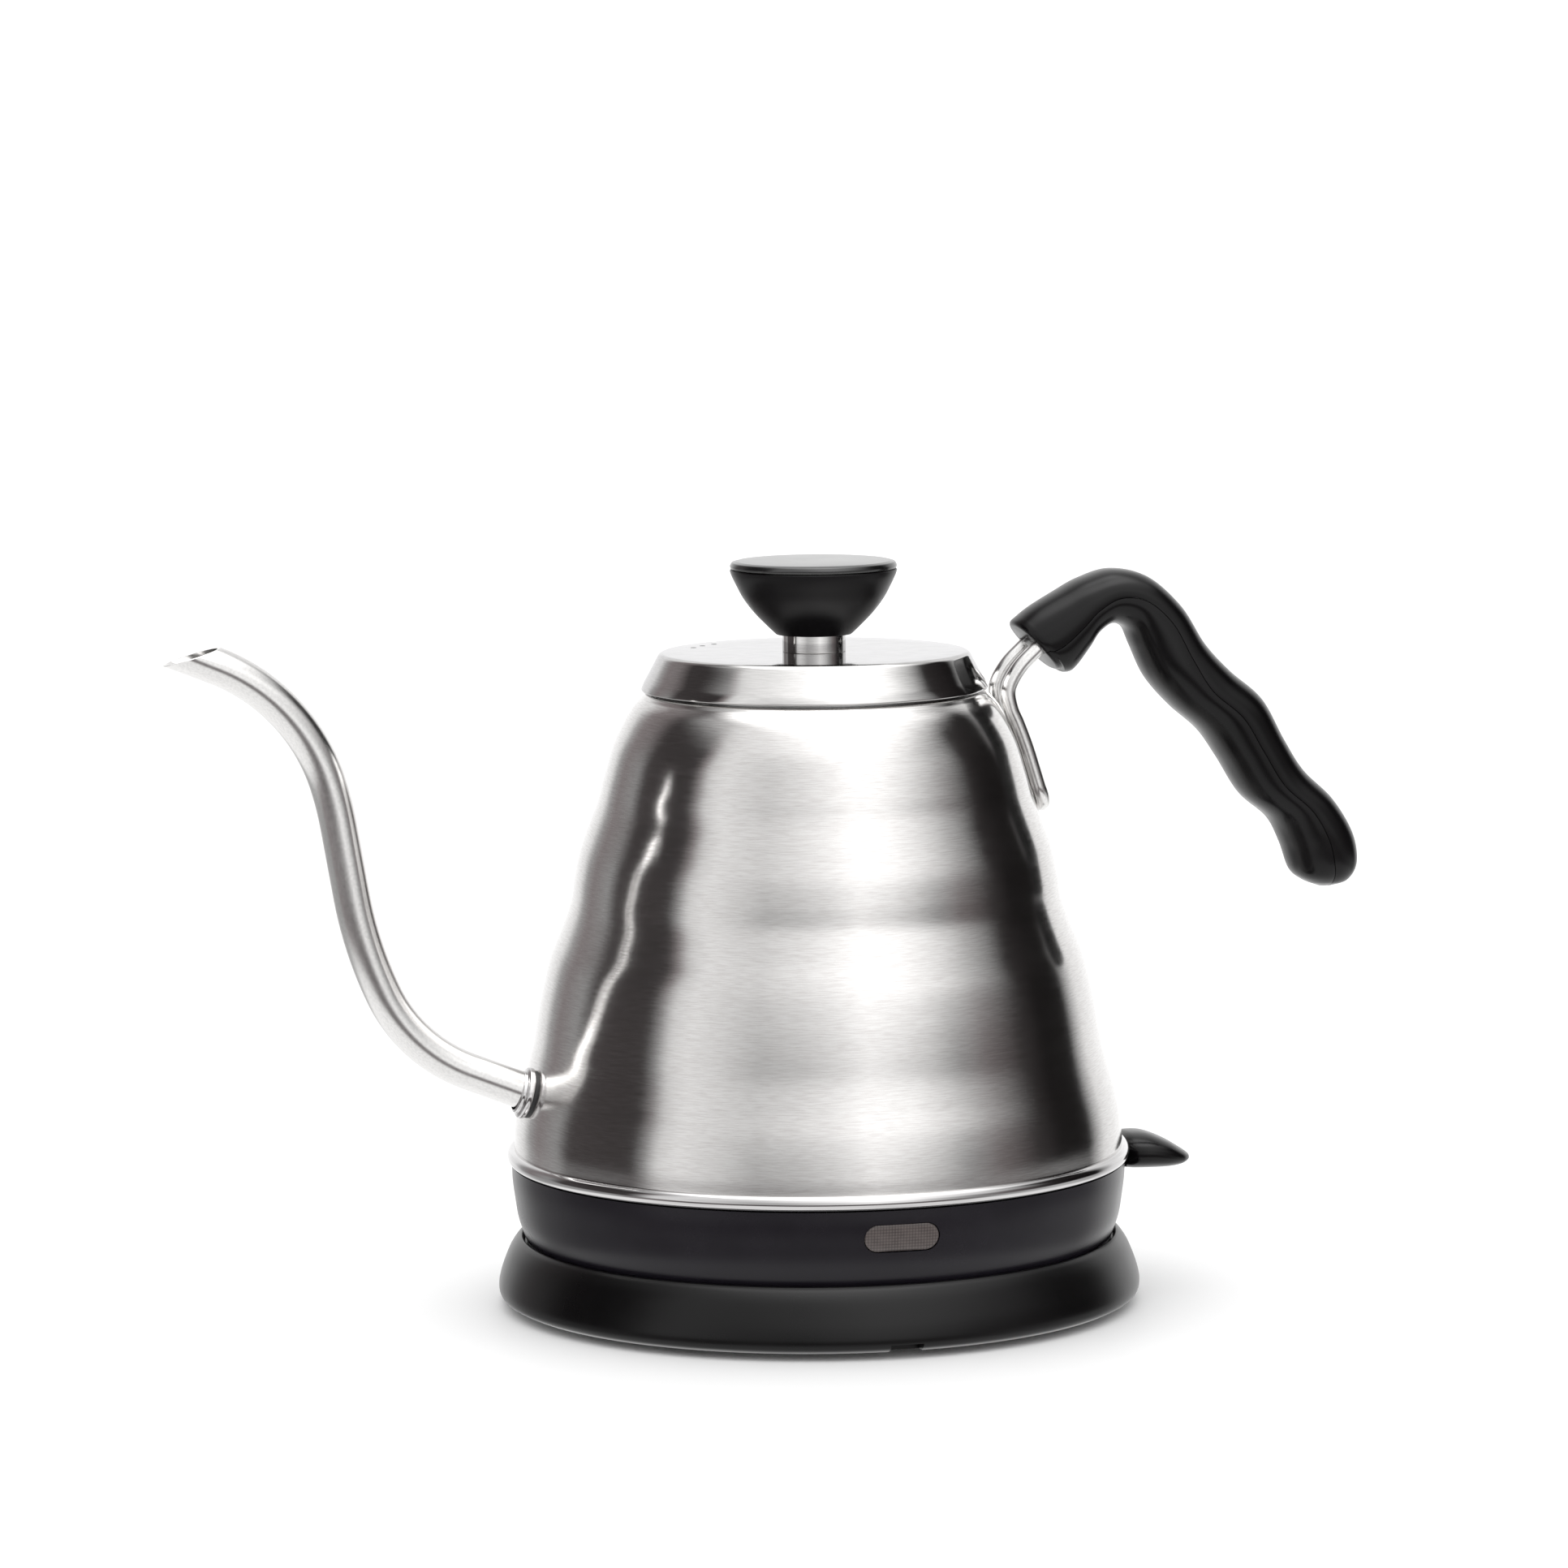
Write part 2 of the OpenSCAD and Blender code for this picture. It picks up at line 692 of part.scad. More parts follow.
module switch_lever() {
    color(black) difference() {
        union() {
            loft([for (k = smooth(paddle_knots, 3)) paddle_ring(k, 24)]);
            translate([lever_x, -5, lever_z - 1.6]) cube([11.5, 10, 4]);
            translate([lever_x, -5, lever_z]) rotate([-90, 0, 0]) cylinder(r = 3.2, h = 10);
            translate([lever_x - 7, -2, lever_z - 1.5]) cube([7, 4, 2.2]);
        }
        translate([lever_x, -6, lever_z]) rotate([-90, 0, 0]) cylinder(r = 1.5 + pin_gap, h = 12);
    }
}

module trip_rocker() {
    color("#d8d4c8") difference() {
        union() {
            translate([rocker_x, -6, rocker_z]) rotate([-90, 0, 0]) cylinder(r = 2.6, h = 12);
            translate([rocker_x + 0.6, -1.5, rocker_z + 0.6]) cube([2.4, 3, 7.2]);
            translate([rocker_x + 0.6, -1.5, rocker_z + 6]) cube([9, 3, 1.8]);
            translate([rocker_x - 8, -6, rocker_z - 1.6]) cube([8, 12, 1.4]);
        }
        translate([rocker_x, -7, rocker_z]) rotate([-90, 0, 0]) cylinder(r = 1.2 + pin_gap, h = 14);
    }
}

module rocker_contact() {
    color(copper) for (s = [-1, 1]) translate([rocker_x - 9.5, s * 5 - 1, rocker_z - 2.1])
        cube([6, 2, 0.48]);
}

base_cover();
base_plate();
base_feet();
base_screws();
base_socket();
socket_contacts();
cord_gland();
cord_clamp();
clamp_screws();
plug_housing();
plug_rings();
plug_pin();
body_shell();
floor_pan();
seam_ring();
spout_tube();
spout_collar();
weld_plate();
handle_bracket();
handle_upper();
handle_lower();
handle_screw();
shroud();
kettle_cover();
cover_screws();
lamp_lens();
lamp_bulb();
lamp_holder();
lamp_leads();
heat_spreader();
heating_element();
element_pins();
control_unit();
thermal_discs();
steam_tube();
steam_grommet();
steam_disc();
switch_frame();
lever_pin();
rocker_pin();
fixed_contacts();
lid_liner();
lid_cover();
knob_neck();
knob_bowl();
knob_cap();
knob_screw();
switch_lever();
trip_rocker();
rocker_contact();
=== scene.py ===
"""Looks of the gooseneck kettle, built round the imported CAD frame. Lengths are in millimetres
until a mesh is made, then metres. +X is towards the handle, -X the spout, -Y the lamp window."""
import math

import bmesh
import bpy
import numpy as np
from mathutils import Matrix, Vector


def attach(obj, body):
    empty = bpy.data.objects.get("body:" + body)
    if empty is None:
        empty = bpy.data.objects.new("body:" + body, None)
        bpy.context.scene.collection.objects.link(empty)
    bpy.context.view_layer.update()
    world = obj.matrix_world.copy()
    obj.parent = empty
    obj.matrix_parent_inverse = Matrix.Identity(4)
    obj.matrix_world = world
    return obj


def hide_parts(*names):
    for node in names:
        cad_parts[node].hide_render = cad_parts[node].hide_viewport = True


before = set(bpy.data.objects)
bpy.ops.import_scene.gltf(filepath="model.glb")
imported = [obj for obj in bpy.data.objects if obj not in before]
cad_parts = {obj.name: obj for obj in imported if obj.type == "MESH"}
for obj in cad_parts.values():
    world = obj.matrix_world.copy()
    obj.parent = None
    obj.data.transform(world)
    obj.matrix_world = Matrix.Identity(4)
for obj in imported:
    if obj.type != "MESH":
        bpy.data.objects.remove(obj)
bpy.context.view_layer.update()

MM = 0.001
MERGE_M = 2e-7
DEGENERATE_M = 1e-7
FINE = 2

# ---------------------------------------------------------------- outlines: (radius, height)
BODY = [(69.6, 36.2), (69.4, 41.5), (68.2, 48), (66.4, 54.5), (64.9, 60.5), (63.9, 66.5),
        (62.6, 73), (60.8, 80), (58.2, 86.5), (56.1, 92.5), (55.2, 98), (53.9, 104), (51.8, 110),
        (49.6, 115.8), (48.2, 121), (46.1, 128), (43.9, 132.8), (41.4, 137), (39.2, 139.4)]
SHROUD = [(66.9, 14.8), (67.8, 17.2), (68.9, 20.6), (69.6, 25), (70.1, 29), (70.2, 32.6)]
BASE = [(71.3, 1.5), (73, 2.5), (73.5, 4.4), (73.1, 7), (72.1, 10), (70.9, 12.8), (69.6, 14.8),
        (68.7, 15.7)]
KNOB = [(8.6, 153.3), (10.6, 155.2), (13.6, 158.3), (16, 161.5), (17.6, 164.5), (18.6, 166.6),
        (19, 167.8)]
LID_SIDE = [(39.4, 141.6), (37.4, 145.2), (35.6, 148.6)]
BODY_WALL = 0.8
BODY_WALL_TOP = 138.4
BODY_STEPS = 8
SHROUD_WALL = 2
SHROUD_STEPS = 6
LID_WALL = 0.7
LID_TOP = 149.3
AROUND = 256

# Seam ring: the bead's middle, its half widths, and the edge let into the body
BEAD_MIDDLE = (69.75, 34.52)
BEAD_HALF = (1.5, 1.72)
BEAD_EDGE = (68.5, 32.8, 36.24)

# Vents in the lid
VENT_TURNS = (126, 135, 144)
VENT_CIRCLE_R = 29.5
VENT_R = 0.7

# Spout, from the body to the mouth: (turn in degrees, radius), or (0, length) where straight
SPOUT_ROOT = (-66, 50.4)
SPOUT_RISE = 22.2
SPOUT_PATH = [(0, 16.8), (43.4, 36.3), (14.8, 91.5), (0, 15.9), (-7.2, 78), (-51, 43.3), (0, 16)]
SPOUT_R = 4.25
SPOUT_WALL = 0.6
MOUTH_AT = (-143.4, 152.7)
MOUTH_SLOPE = 16
# The collar lies flat on the body's slanting wall
COLLAR_RISE = 15.5
COLLAR_AT = 1.8
# Where the black ring behind the collar starts: painted shade for the gap between collar and body
COLLAR_GAP_SHADE_AT = 0.4

# Handle: (inner x, inner z, outer x, outer z, half width, seam's share from inner to outer)
GRIP = [
    (57.2, 142.9, 46.9, 154.2, 8.6, 0.42), (60.6, 143, 51.2, 157.6, 9, 0.42),
    (64.4, 147.6, 57.6, 161.2, 9.2, 0.42), (66.9, 151.4, 63.6, 164.2, 9.2, 0.45),
    (70.3, 153.5, 71, 166.1, 9.2, 0.5), (74, 152.2, 79.2, 164.1, 9.3, 0.56),
    (76, 147.8, 87, 157.2, 9.8, 0.62), (79.6, 140.4, 92.6, 148.4, 10.6, 0.6),
    (85.4, 133.8, 98.8, 141.8, 10.8, 0.5), (92.4, 127.7, 106.4, 135.2, 10.8, 0.5),
    (97.2, 121, 111.8, 125.6, 10.6, 0.5), (102.6, 112.5, 116.6, 118.2, 10.4, 0.5),
    (109.4, 106.6, 123.6, 111.4, 10.4, 0.5), (112.6, 100.6, 128.6, 103.4, 10.2, 0.5),
    (114.8, 94.4, 129.9, 96.4, 9.2, 0.5), (117.6, 91.9, 128, 92.1, 6.4, 0.5),
    (121.2, 90.5, 124.6, 90.6, 2, 0.5)]
GRIP_SQUARE = 2.4
FACE_EDGE = 1.0
SEAM_GROOVE = 0.16

# Leg of the bracket, from inside the handle down to the bend: (x, z)
LEG = [(61.4, 157.6), (56, 152.6), (51.2, 148.2), (47.2, 144.2), (44.7, 139.6), (45.2, 135.2),
       (46.8, 131.4), (48.7, 126.4), (50.3, 121.4), (51.7, 116.8)]
LEG_Y = 4.75
ROD_R = 1.8
BEND_DROP = (0.4, -0.92)
# A direction that the rod never takes
ROD_UP = (0.92, 0, 0.4)

# Holes in the handle's front face: (radius, depth) for each leg, the screw's head and its shank
LEG_HOLE = (ROD_R + 0.15, 15)
HEAD_HOLE = (2.55, 1.6)
SHANK_HOLE = (1.3, 12)

# Weld plate: (height, radius) of its two round ends, and (share of the outline, lift off the
# body) from its edge to its middle
PLATE_TOP = (133, 7.6)
PLATE_LOW = (114, 6)
PLATE_MIDDLE_Z = 124
PLATE_RINGS = [(1, 0.04), (1, 0.36), (0.985, 0.5), (0.96, 0.55), (0.75, 0.55), (0.5, 0.55),
               (0.25, 0.55), (0.05, 0.55)]

# Lever: (x, lowest z, highest z, half width)
PADDLE = [(72.4, 27, 34.4, 7.8), (74.4, 26.7, 35, 9.2), (78.4, 26.6, 34.8, 9.8),
          (82.6, 26.6, 33.2, 9), (86, 26.9, 31.2, 6.8), (88.2, 27.6, 29.7, 3.8),
          (89, 28.3, 28.9, 1.2)]
LEVER_PIVOT = (62, 29)

# Lamp window, and (share of the outline, dip below the band) from its rim to its middle
LENS_Z = 26.4
LENS_W = 17
LENS_H = 6.1
LENS_GAP = 0.3
LENS_RINGS = [(1, 1.6), (1, 0.45), (0.985, 0.3), (0.95, 0.24), (0.8, 0.2), (0.5, 0.18), (0.2, 0.18)]

# Bosses inside the band: turns, circle and (outer radius, inner radius, low, high)
BOSS_TURNS = (90, 210, 330)
BOSS_CIRCLE_R = 61.5
BOSS = (3.6, 1.3, 16.8, 30.8)


# ---------------------------------------------------------------- curves
def smooth(knots, steps):
    """Points of a smooth curve through the knots, with steps points to each stretch."""
    k = np.array(knots, float)
    out = []
    for i in range(len(k) - 1):
        a, b = k[max(i - 1, 0)], k[i]
        c, d = k[i + 1], k[min(i + 2, len(k) - 1)]
        for t in np.arange(steps) / steps:
            out.append(0.5 * (2 * b + (c - a) * t + (2 * a - 5 * b + 4 * c - d) * t ** 2
                              + (3 * b - a - 3 * c + d) * t ** 3))
    out.append(k[-1])
    return [tuple(p) for p in out]


def inset(outline, t):
    """The outline moved by t to its left, square to itself."""
    p = np.array(outline, float)
    run = np.gradient(p, axis=0)
    run /= np.linalg.norm(run, axis=1)[:, None]
    return [tuple(q) for q in p + t * np.stack([-run[:, 1], run[:, 0]], 1)]


def rounded(points, arc=5):
    """An outline whose corners are (r, z, radius): each with a radius becomes an arc."""
    out = []
    n = len(points)
    for i, item in enumerate(points):
        if len(item) == 2 or item[2] == 0:
            out.append(tuple(item[:2]))
            continue
        here = Vector(item[:2])
        back = Vector(points[i - 1][:2]) - here
        ahead = Vector(points[(i + 1) % n][:2]) - here
        half = back.angle(ahead) / 2
        reach = min(item[2] / math.tan(half), back.length * 0.49, ahead.length * 0.49)
        a = here + back.normalized() * reach
        b = here + ahead.normalized() * reach
        for t in np.linspace(0, 1, arc + 1):
            out.append(tuple(a * (1 - t) ** 2 + here * 2 * t * (1 - t) + b * t ** 2))
    return out


# ---------------------------------------------------------------- meshes
def new_mesh(name, verts, faces, sharp=35):
    """A smooth-shaded object from points in millimetres, with edges over sharp degrees kept hard."""
    mesh = bpy.data.meshes.new(name)
    mesh.from_pydata([Vector(v) * MM for v in verts], [], faces)
    obj = bpy.data.objects.new(name, mesh)
    bpy.context.scene.collection.objects.link(obj)
    tidy_faces(obj, sharp)
    return obj


def tidy_faces(obj, sharp=35):
    """Merges doubled points, drops faces without area and turns every face outwards."""
    bm = bmesh.new()
    bm.from_mesh(obj.data)
    bmesh.ops.remove_doubles(bm, verts=bm.verts, dist=MERGE_M)
    bmesh.ops.dissolve_degenerate(bm, edges=bm.edges, dist=DEGENERATE_M)
    bmesh.ops.recalc_face_normals(bm, faces=bm.faces)
    bm.to_mesh(obj.data)
    bm.free()
    obj.data.shade_smooth()
    obj.data.set_sharp_from_angle(angle=math.radians(sharp))


def lathe(name, outline, around=192, sharp=35):
    """A solid of revolution about Z from a closed outline."""
    turn = 2 * math.pi * np.arange(around) / around
    verts, faces, rows = [], [], []
    for r, z in outline:
        if r < 1e-4:
            rows.append([len(verts)] * around)
            verts.append((0, 0, z))
            continue
        rows.append(list(range(len(verts), len(verts) + around)))
        verts += [(r * math.cos(a), r * math.sin(a), z) for a in turn]
    for i, low in enumerate(rows):
        high = rows[(i + 1) % len(rows)]
        for k in range(around):
            m = (k + 1) % around
            face = [low[k], low[m], high[m], high[k]]
            corners = list(dict.fromkeys(face))
            if len(corners) > 2:
                faces.append(corners)
    return new_mesh(name, verts, faces, sharp)


def loft(name, rings, sharp=35, loop=False):
    """A skin over rings with the same number of points, capped or coming back to the first."""
    n = len(rings[0])
    verts = [p for ring in rings for p in ring]
    faces = []
    for i in range(len(rings) if loop else len(rings) - 1):
        j = (i + 1) % len(rings)
        for k in range(n):
            m = (k + 1) % n
            faces.append([i * n + k, i * n + m, j * n + m, j * n + k])
    if not loop:
        faces.append(list(range(n)))
        faces.append([(len(rings) - 1) * n + k for k in range(n)])
    return new_mesh(name, verts, faces, sharp)


def join(name, parts, sharp=35):
    """One object from several."""
    bm = bmesh.new()
    for part in parts:
        bm.from_mesh(part.data)
        bpy.data.objects.remove(part)
    mesh = bpy.data.meshes.new(name)
    bm.to_mesh(mesh)
    bm.free()
    obj = bpy.data.objects.new(name, mesh)
    bpy.context.scene.collection.objects.link(obj)
    tidy_faces(obj, sharp)
    return obj


def bar_rings(path, r, sides, up):
    """Rings of a round bar that follows path; up is a direction that the path never takes."""
    p = np.array(path, float)
    run = np.gradient(p, axis=0)
    run /= np.linalg.norm(run, axis=1)[:, None]
    side = np.cross(run, up)
    side /= np.linalg.norm(side, axis=1)[:, None]
    rise = np.cross(side, run)
    turn = 2 * math.pi * np.arange(sides) / sides
    return [[tuple(p[i] + r * (math.cos(a) * side[i] + math.sin(a) * rise[i])) for a in turn]
            for i in range(len(p))]


def place_along(obj, at, rise):
    """Turns an object made about Z to point up the spout, and moves it there."""
    x, z = SPOUT_ROOT
    a = math.radians(rise)
    turn = Matrix.Rotation(a - math.pi / 2, 4, "Y")
    shift = Matrix.Translation(Vector((x - at * math.cos(a), 0, z + at * math.sin(a))) * MM)
    obj.data.transform(shift @ turn)


def cut(obj, tool, sharp=35):
    """Takes the tool's volume away from the object."""
    step = obj.modifiers.new("cut", "BOOLEAN")
    step.operation = "DIFFERENCE"
    step.solver = "EXACT"
    step.object = tool
    settle(obj)
    bpy.data.objects.remove(tool)
    tidy_faces(obj, sharp)


def settle(obj):
    """Applies the object's modifiers."""
    graph = bpy.context.evaluated_depsgraph_get()
    mesh = bpy.data.meshes.new_from_object(obj.evaluated_get(graph))
    obj.modifiers.clear()
    obj.data = mesh


def block(centre, size, name="tool"):
    """A box of the given size round its centre."""
    x, y, z = centre
    a, b, c = (s / 2 for s in size)
    verts = [(x + i * a, y + j * b, z + k * c) for i in (-1, 1) for j in (-1, 1) for k in (-1, 1)]
    faces = [(0, 1, 3, 2), (4, 6, 7, 5), (0, 4, 5, 1), (2, 3, 7, 6), (0, 2, 6, 4), (1, 5, 7, 3)]
    return new_mesh(name, verts, faces)


def rod(start, end, r, sides=48, name="tool"):
    """A straight round bar."""
    up = (0, 0, 1) if abs(start[2] - end[2]) < 1e-6 else (0, 1, 0)
    return loft(name, bar_rings([start, end], r, sides, up))


def stadium(w, h, n=16):
    """Points (x, z) round a slot with round ends."""
    r = h / 2
    turn = np.linspace(-math.pi / 2, math.pi / 2, n + 1)
    right = [(w / 2 - r + r * math.cos(a), r * math.sin(a)) for a in turn]
    return right + [(-x, -z) for x, z in right]


def radius_at(outline, z):
    """The outline's radius at a height."""
    points = np.array(outline)
    return float(np.interp(z, points[:, 1], points[:, 0]))


def slot_tool(w, h, z, y0, y1):
    """A bar along Y with round ends to its section."""
    ring = stadium(w, h)
    return loft("tool", [[(x, y, z + dz) for x, dz in ring] for y in (y0, y1)])


def finish_piece(obj, body, slot, mat, *nodes):
    """Gives a made piece its body and material, and hides the CAD nodes that it stands for; slot is
    not used.
    """
    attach(obj, body)
    if nodes:
        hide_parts(*nodes)
    obj.data.materials.clear()
    obj.data.materials.append(mat)
    return obj


# ---------------------------------------------------------------- materials
class Paint:
    """A Principled material and short ways to add to its node tree."""

    def __init__(self, name, color, rough, **sockets):
        self.mat = bpy.data.materials.new(name)
        self.mat.use_nodes = True
        self.tree = self.mat.node_tree
        self.shader = self.tree.nodes["Principled BSDF"]
        self.shader.inputs["Base Color"].default_value = (*color, 1)
        self.shader.inputs["Roughness"].default_value = rough
        for key, value in sockets.items():
            self.shader.inputs[key.replace("_", " ")].default_value = value

    def node(self, kind, **values):
        made = self.tree.nodes.new(kind)
        for key, value in values.items():
            if hasattr(made, key):
                setattr(made, key, value)
            else:
                made.inputs[key.replace("_", " ")].default_value = value
        return made

    def link(self, out, into):
        self.tree.links.new(out, into)

    def place(self, scale):
        """Object coordinates stretched by scale."""
        coord = self.node("ShaderNodeTexCoord")
        mapping = self.node("ShaderNodeMapping")
        mapping.inputs["Scale"].default_value = scale
        self.link(coord.outputs["Object"], mapping.inputs["Vector"])
        return mapping.outputs["Vector"]

    def noise(self, vector, scale, detail=3, roughness=0.5):
        made = self.node("ShaderNodeTexNoise", Scale=scale, Detail=detail, Roughness=roughness)
        self.link(vector, made.inputs["Vector"])
        return made.outputs["Fac"]

    def ramp(self, fac, stops):
        made = self.node("ShaderNodeValToRGB")
        points = made.color_ramp.elements
        while len(points) < len(stops):
            points.new(0.5)
        for point, (at, value) in zip(points, stops):
            point.position = at
            point.color = (*value, 1) if hasattr(value, "__len__") else (value,) * 3 + (1,)
        self.link(fac, made.inputs["Fac"])
        return made.outputs["Color"]

    def span(self, fac, low, high):
        """Maps 0.3 to 0.7, where noise mostly lies, to low to high."""
        made = self.node("ShaderNodeMapRange")
        made.inputs["From Min"].default_value = 0.3
        made.inputs["From Max"].default_value = 0.7
        made.inputs["To Min"].default_value = low
        made.inputs["To Max"].default_value = high
        self.link(fac, made.inputs["Value"])
        return made.outputs["Result"]

    def bump(self, height, strength, depth):
        made = self.node("ShaderNodeBump", Strength=strength, Distance=depth)
        self.link(height, made.inputs["Height"])
        self.link(made.outputs["Normal"], self.shader.inputs["Normal"])
        return made


def brushed_metal(name, dark, light, rough, grain, anisotropic=0.5, radial=True, depth=0.3,
                  edge=(1, 1, 1, 1)):
    """Steel with fine lines: grain is the object-space scale, small along the lines, and edge
    how much of the light it returns at a grazing angle."""
    p = Paint(name, light, sum(rough) / 2, Metallic=1.0, Anisotropic=anisotropic,
              Specular_Tint=edge)
    lines = p.noise(p.place(grain), 1.0, 3, 0.55)
    broad = p.noise(p.place(tuple(g * 0.3 for g in grain)), 1.0, 4, 0.6)
    p.link(p.ramp(lines, [(0.3, dark), (0.62, light)]), p.shader.inputs["Base Color"])
    p.link(p.span(broad, *rough), p.shader.inputs["Roughness"])
    p.bump(lines, depth, 0.00001)
    if radial:
        p.shader.inputs["Anisotropic Rotation"].default_value = 0.25
        tangent = p.node("ShaderNodeTangent", direction_type="RADIAL", axis="Z")
        p.link(tangent.outputs["Tangent"], p.shader.inputs["Tangent"])
    return p.mat


def plastic(name, dark, light, rough, grain, depth, strength=0.25, shine=0.5):
    """Moulded plastic: a fine spark-eroded grain (its scale, then its depth in metres), and slow
    changes of gloss and colour."""
    p = Paint(name, light, sum(rough) / 2, Specular_IOR_Level=shine)
    slow = p.noise(p.place((1, 1, 1)), 38, 4, 0.6)
    fine = p.noise(p.place((1, 1, 1)), grain, 2, 0.6)
    p.link(p.ramp(slow, [(0.35, dark), (0.68, light)]), p.shader.inputs["Base Color"])
    p.link(p.span(slow, *rough), p.shader.inputs["Roughness"])
    p.bump(fine, strength, depth)
    return p.mat


body_steel = brushed_metal("body_steel", (0.62, 0.6, 0.59), (0.73, 0.72, 0.71), (0.13, 0.17),
                           (280, 280, 4600), anisotropic=0.4, depth=0.25)
lid_steel = brushed_metal("lid_steel", (0.66, 0.65, 0.64), (0.75, 0.74, 0.73), (0.07, 0.1),
                          (280, 280, 4600), anisotropic=0.2, depth=0.12,
                          edge=(0.8, 0.8, 0.81, 1))
# Paler than the body's steel: painted light, its colour raised to stand in for the brighter
# reflections along the spout; the bracket and weld plate share it
tube_steel = brushed_metal("tube_steel", (0.78, 0.77, 0.76), (0.86, 0.85, 0.84), (0.19, 0.23),
                           (1500, 3800, 1500), anisotropic=0.0, radial=False, depth=0.06)
polished_steel = brushed_metal("polished_steel", (0.58, 0.57, 0.57), (0.7, 0.69, 0.69),
                               (0.07, 0.11), (60, 60, 1500), anisotropic=0.0, radial=False,
                               depth=0.1)
inner_steel = brushed_metal("inner_steel", (0.42, 0.42, 0.42), (0.6, 0.6, 0.59), (0.24, 0.36),
                            (60, 60, 900), anisotropic=0.3)
handle_black = plastic("handle_black", (0.002, 0.0018, 0.002), (0.004, 0.0035, 0.004),
                       (0.2, 0.26), 2600, 0.00002, strength=0.2, shine=0.26)
band_black = plastic("band_black", (0.007, 0.0058, 0.0085), (0.01, 0.0085, 0.012),
                     (0.22, 0.28), 2600, 0.00002, strength=0.2, shine=0.32)
base_black = plastic("base_black", (0.0014, 0.0012, 0.0014), (0.003, 0.0026, 0.003),
                     (0.26, 0.32), 1900, 0.00004, strength=0.25, shine=0.3)
knob_black = plastic("knob_black", (0.003, 0.0026, 0.003), (0.005, 0.0044, 0.005),
                     (0.26, 0.32), 3000, 0.00001, strength=0.15, shine=0.13)
cap_black = plastic("cap_black", (0.003, 0.003, 0.0032), (0.006, 0.006, 0.0064),
                    (0.16, 0.2), 3000, 0.00001, strength=0.1, shine=1.0)
inner_black = plastic("inner_black", (0.012, 0.012, 0.013), (0.025, 0.025, 0.027),
                      (0.42, 0.52), 1500, 0.00005, strength=0.3)
foot_rubber = plastic("foot_rubber", (0.016, 0.016, 0.017), (0.04, 0.04, 0.042),
                      (0.7, 0.85), 1200, 0.00008, strength=0.5)
grommet_rubber = plastic("grommet_rubber", (0.22, 0.17, 0.14), (0.34, 0.28, 0.24),
                         (0.5, 0.6), 900, 0.00005)
ivory_plastic = plastic("ivory_plastic", (0.62, 0.58, 0.5), (0.78, 0.75, 0.68),
                        (0.35, 0.45), 1200, 0.00003)
red_wire = plastic("red_wire", (0.36, 0.03, 0.02), (0.52, 0.06, 0.04), (0.4, 0.5), 900, 0.00004)
brass = brushed_metal("brass", (0.6, 0.42, 0.16), (0.8, 0.6, 0.28), (0.2, 0.32),
                      (90, 90, 900), anisotropic=0.0, radial=False)
aluminium = brushed_metal("aluminium", (0.58, 0.59, 0.6), (0.76, 0.77, 0.78), (0.28, 0.4),
                          (120, 120, 500), anisotropic=0.0, radial=False)


def lens_material():
    """Smoked window: a fine square grid of dots behind a glossy face."""
    p = Paint("lens_smoke", (0.08, 0.07, 0.065), 0.22, Coat_Weight=0.3, Coat_Roughness=0.12,
              Specular_IOR_Level=0.3)
    grid = p.node("ShaderNodeTexVoronoi", Scale=1.0, Randomness=0.0)
    p.link(p.place((1500, 1, 1500)), grid.inputs["Vector"])
    haze = p.noise(p.place((1, 1, 1)), 160, 4, 0.7)
    mixed = p.node("ShaderNodeMath", operation="MULTIPLY")
    p.link(grid.outputs["Distance"], mixed.inputs[0])
    p.link(haze, mixed.inputs[1])
    shade = p.ramp(mixed.outputs["Value"], [(0.06, (0.11, 0.092, 0.088)), (0.32, (0.05, 0.042, 0.04))])
    p.link(shade, p.shader.inputs["Base Color"])
    p.bump(grid.outputs["Distance"], 0.3, 0.00005)
    return p.mat


def lamp_material():
    """Thin, slightly uneven glass."""
    p = Paint("lamp_glass", (0.9, 0.86, 0.8), 0.05, Transmission_Weight=0.7, IOR=1.45)
    haze = p.noise(p.place((1, 1, 1)), 300, 2)
    p.link(p.ramp(haze, [(0.3, (0.8, 0.74, 0.66)), (0.7, (0.95, 0.92, 0.88))]),
           p.shader.inputs["Base Color"])
    return p.mat


lens_smoke = lens_material()
lamp_glass = lamp_material()


# ---------------------------------------------------------------- kettle body
def make_body():
    """The shell with its rolled lip, open at the top and at the foot."""
    outer = smooth(BODY, BODY_STEPS)
    inner = [p for p in reversed(inset(outer, BODY_WALL)) if p[1] < BODY_WALL_TOP]
    lip = rounded([(39.2, 139.5), (38.6, 140.2, 0.3), (37.3, 140.2, 0.35), (37.2, 139.2, 0.2),
                   (38, 138.6)])
    body = lathe("kettle_body", outer[:-1] + lip + inner, AROUND)
    # The hole for the spout
    x, z = SPOUT_ROOT
    a = math.radians(SPOUT_RISE)
    way = Vector((-math.cos(a), 0, math.sin(a)))
    start = Vector((x, 0, z)) - way * 5
    cut(body, rod(start, start + way * 13, SPOUT_R + 0.05))
    return finish_piece(body, "kettle", "body_steel", body_steel, "body_shell")


def make_seam_ring():
    """The bead round the body's foot."""
    r, z = BEAD_MIDDLE
    bead = [(r + BEAD_HALF[0] * math.cos(a), z + BEAD_HALF[1] * math.sin(a))
            for a in np.linspace(-math.pi / 2, math.pi / 2, 25)]
    edge_r, low, high = BEAD_EDGE
    obj = lathe("kettle_seam_ring", [(edge_r, low)] + bead + [(edge_r, high)], AROUND)
    return finish_piece(obj, "kettle", "polished_steel", polished_steel, "seam_ring")


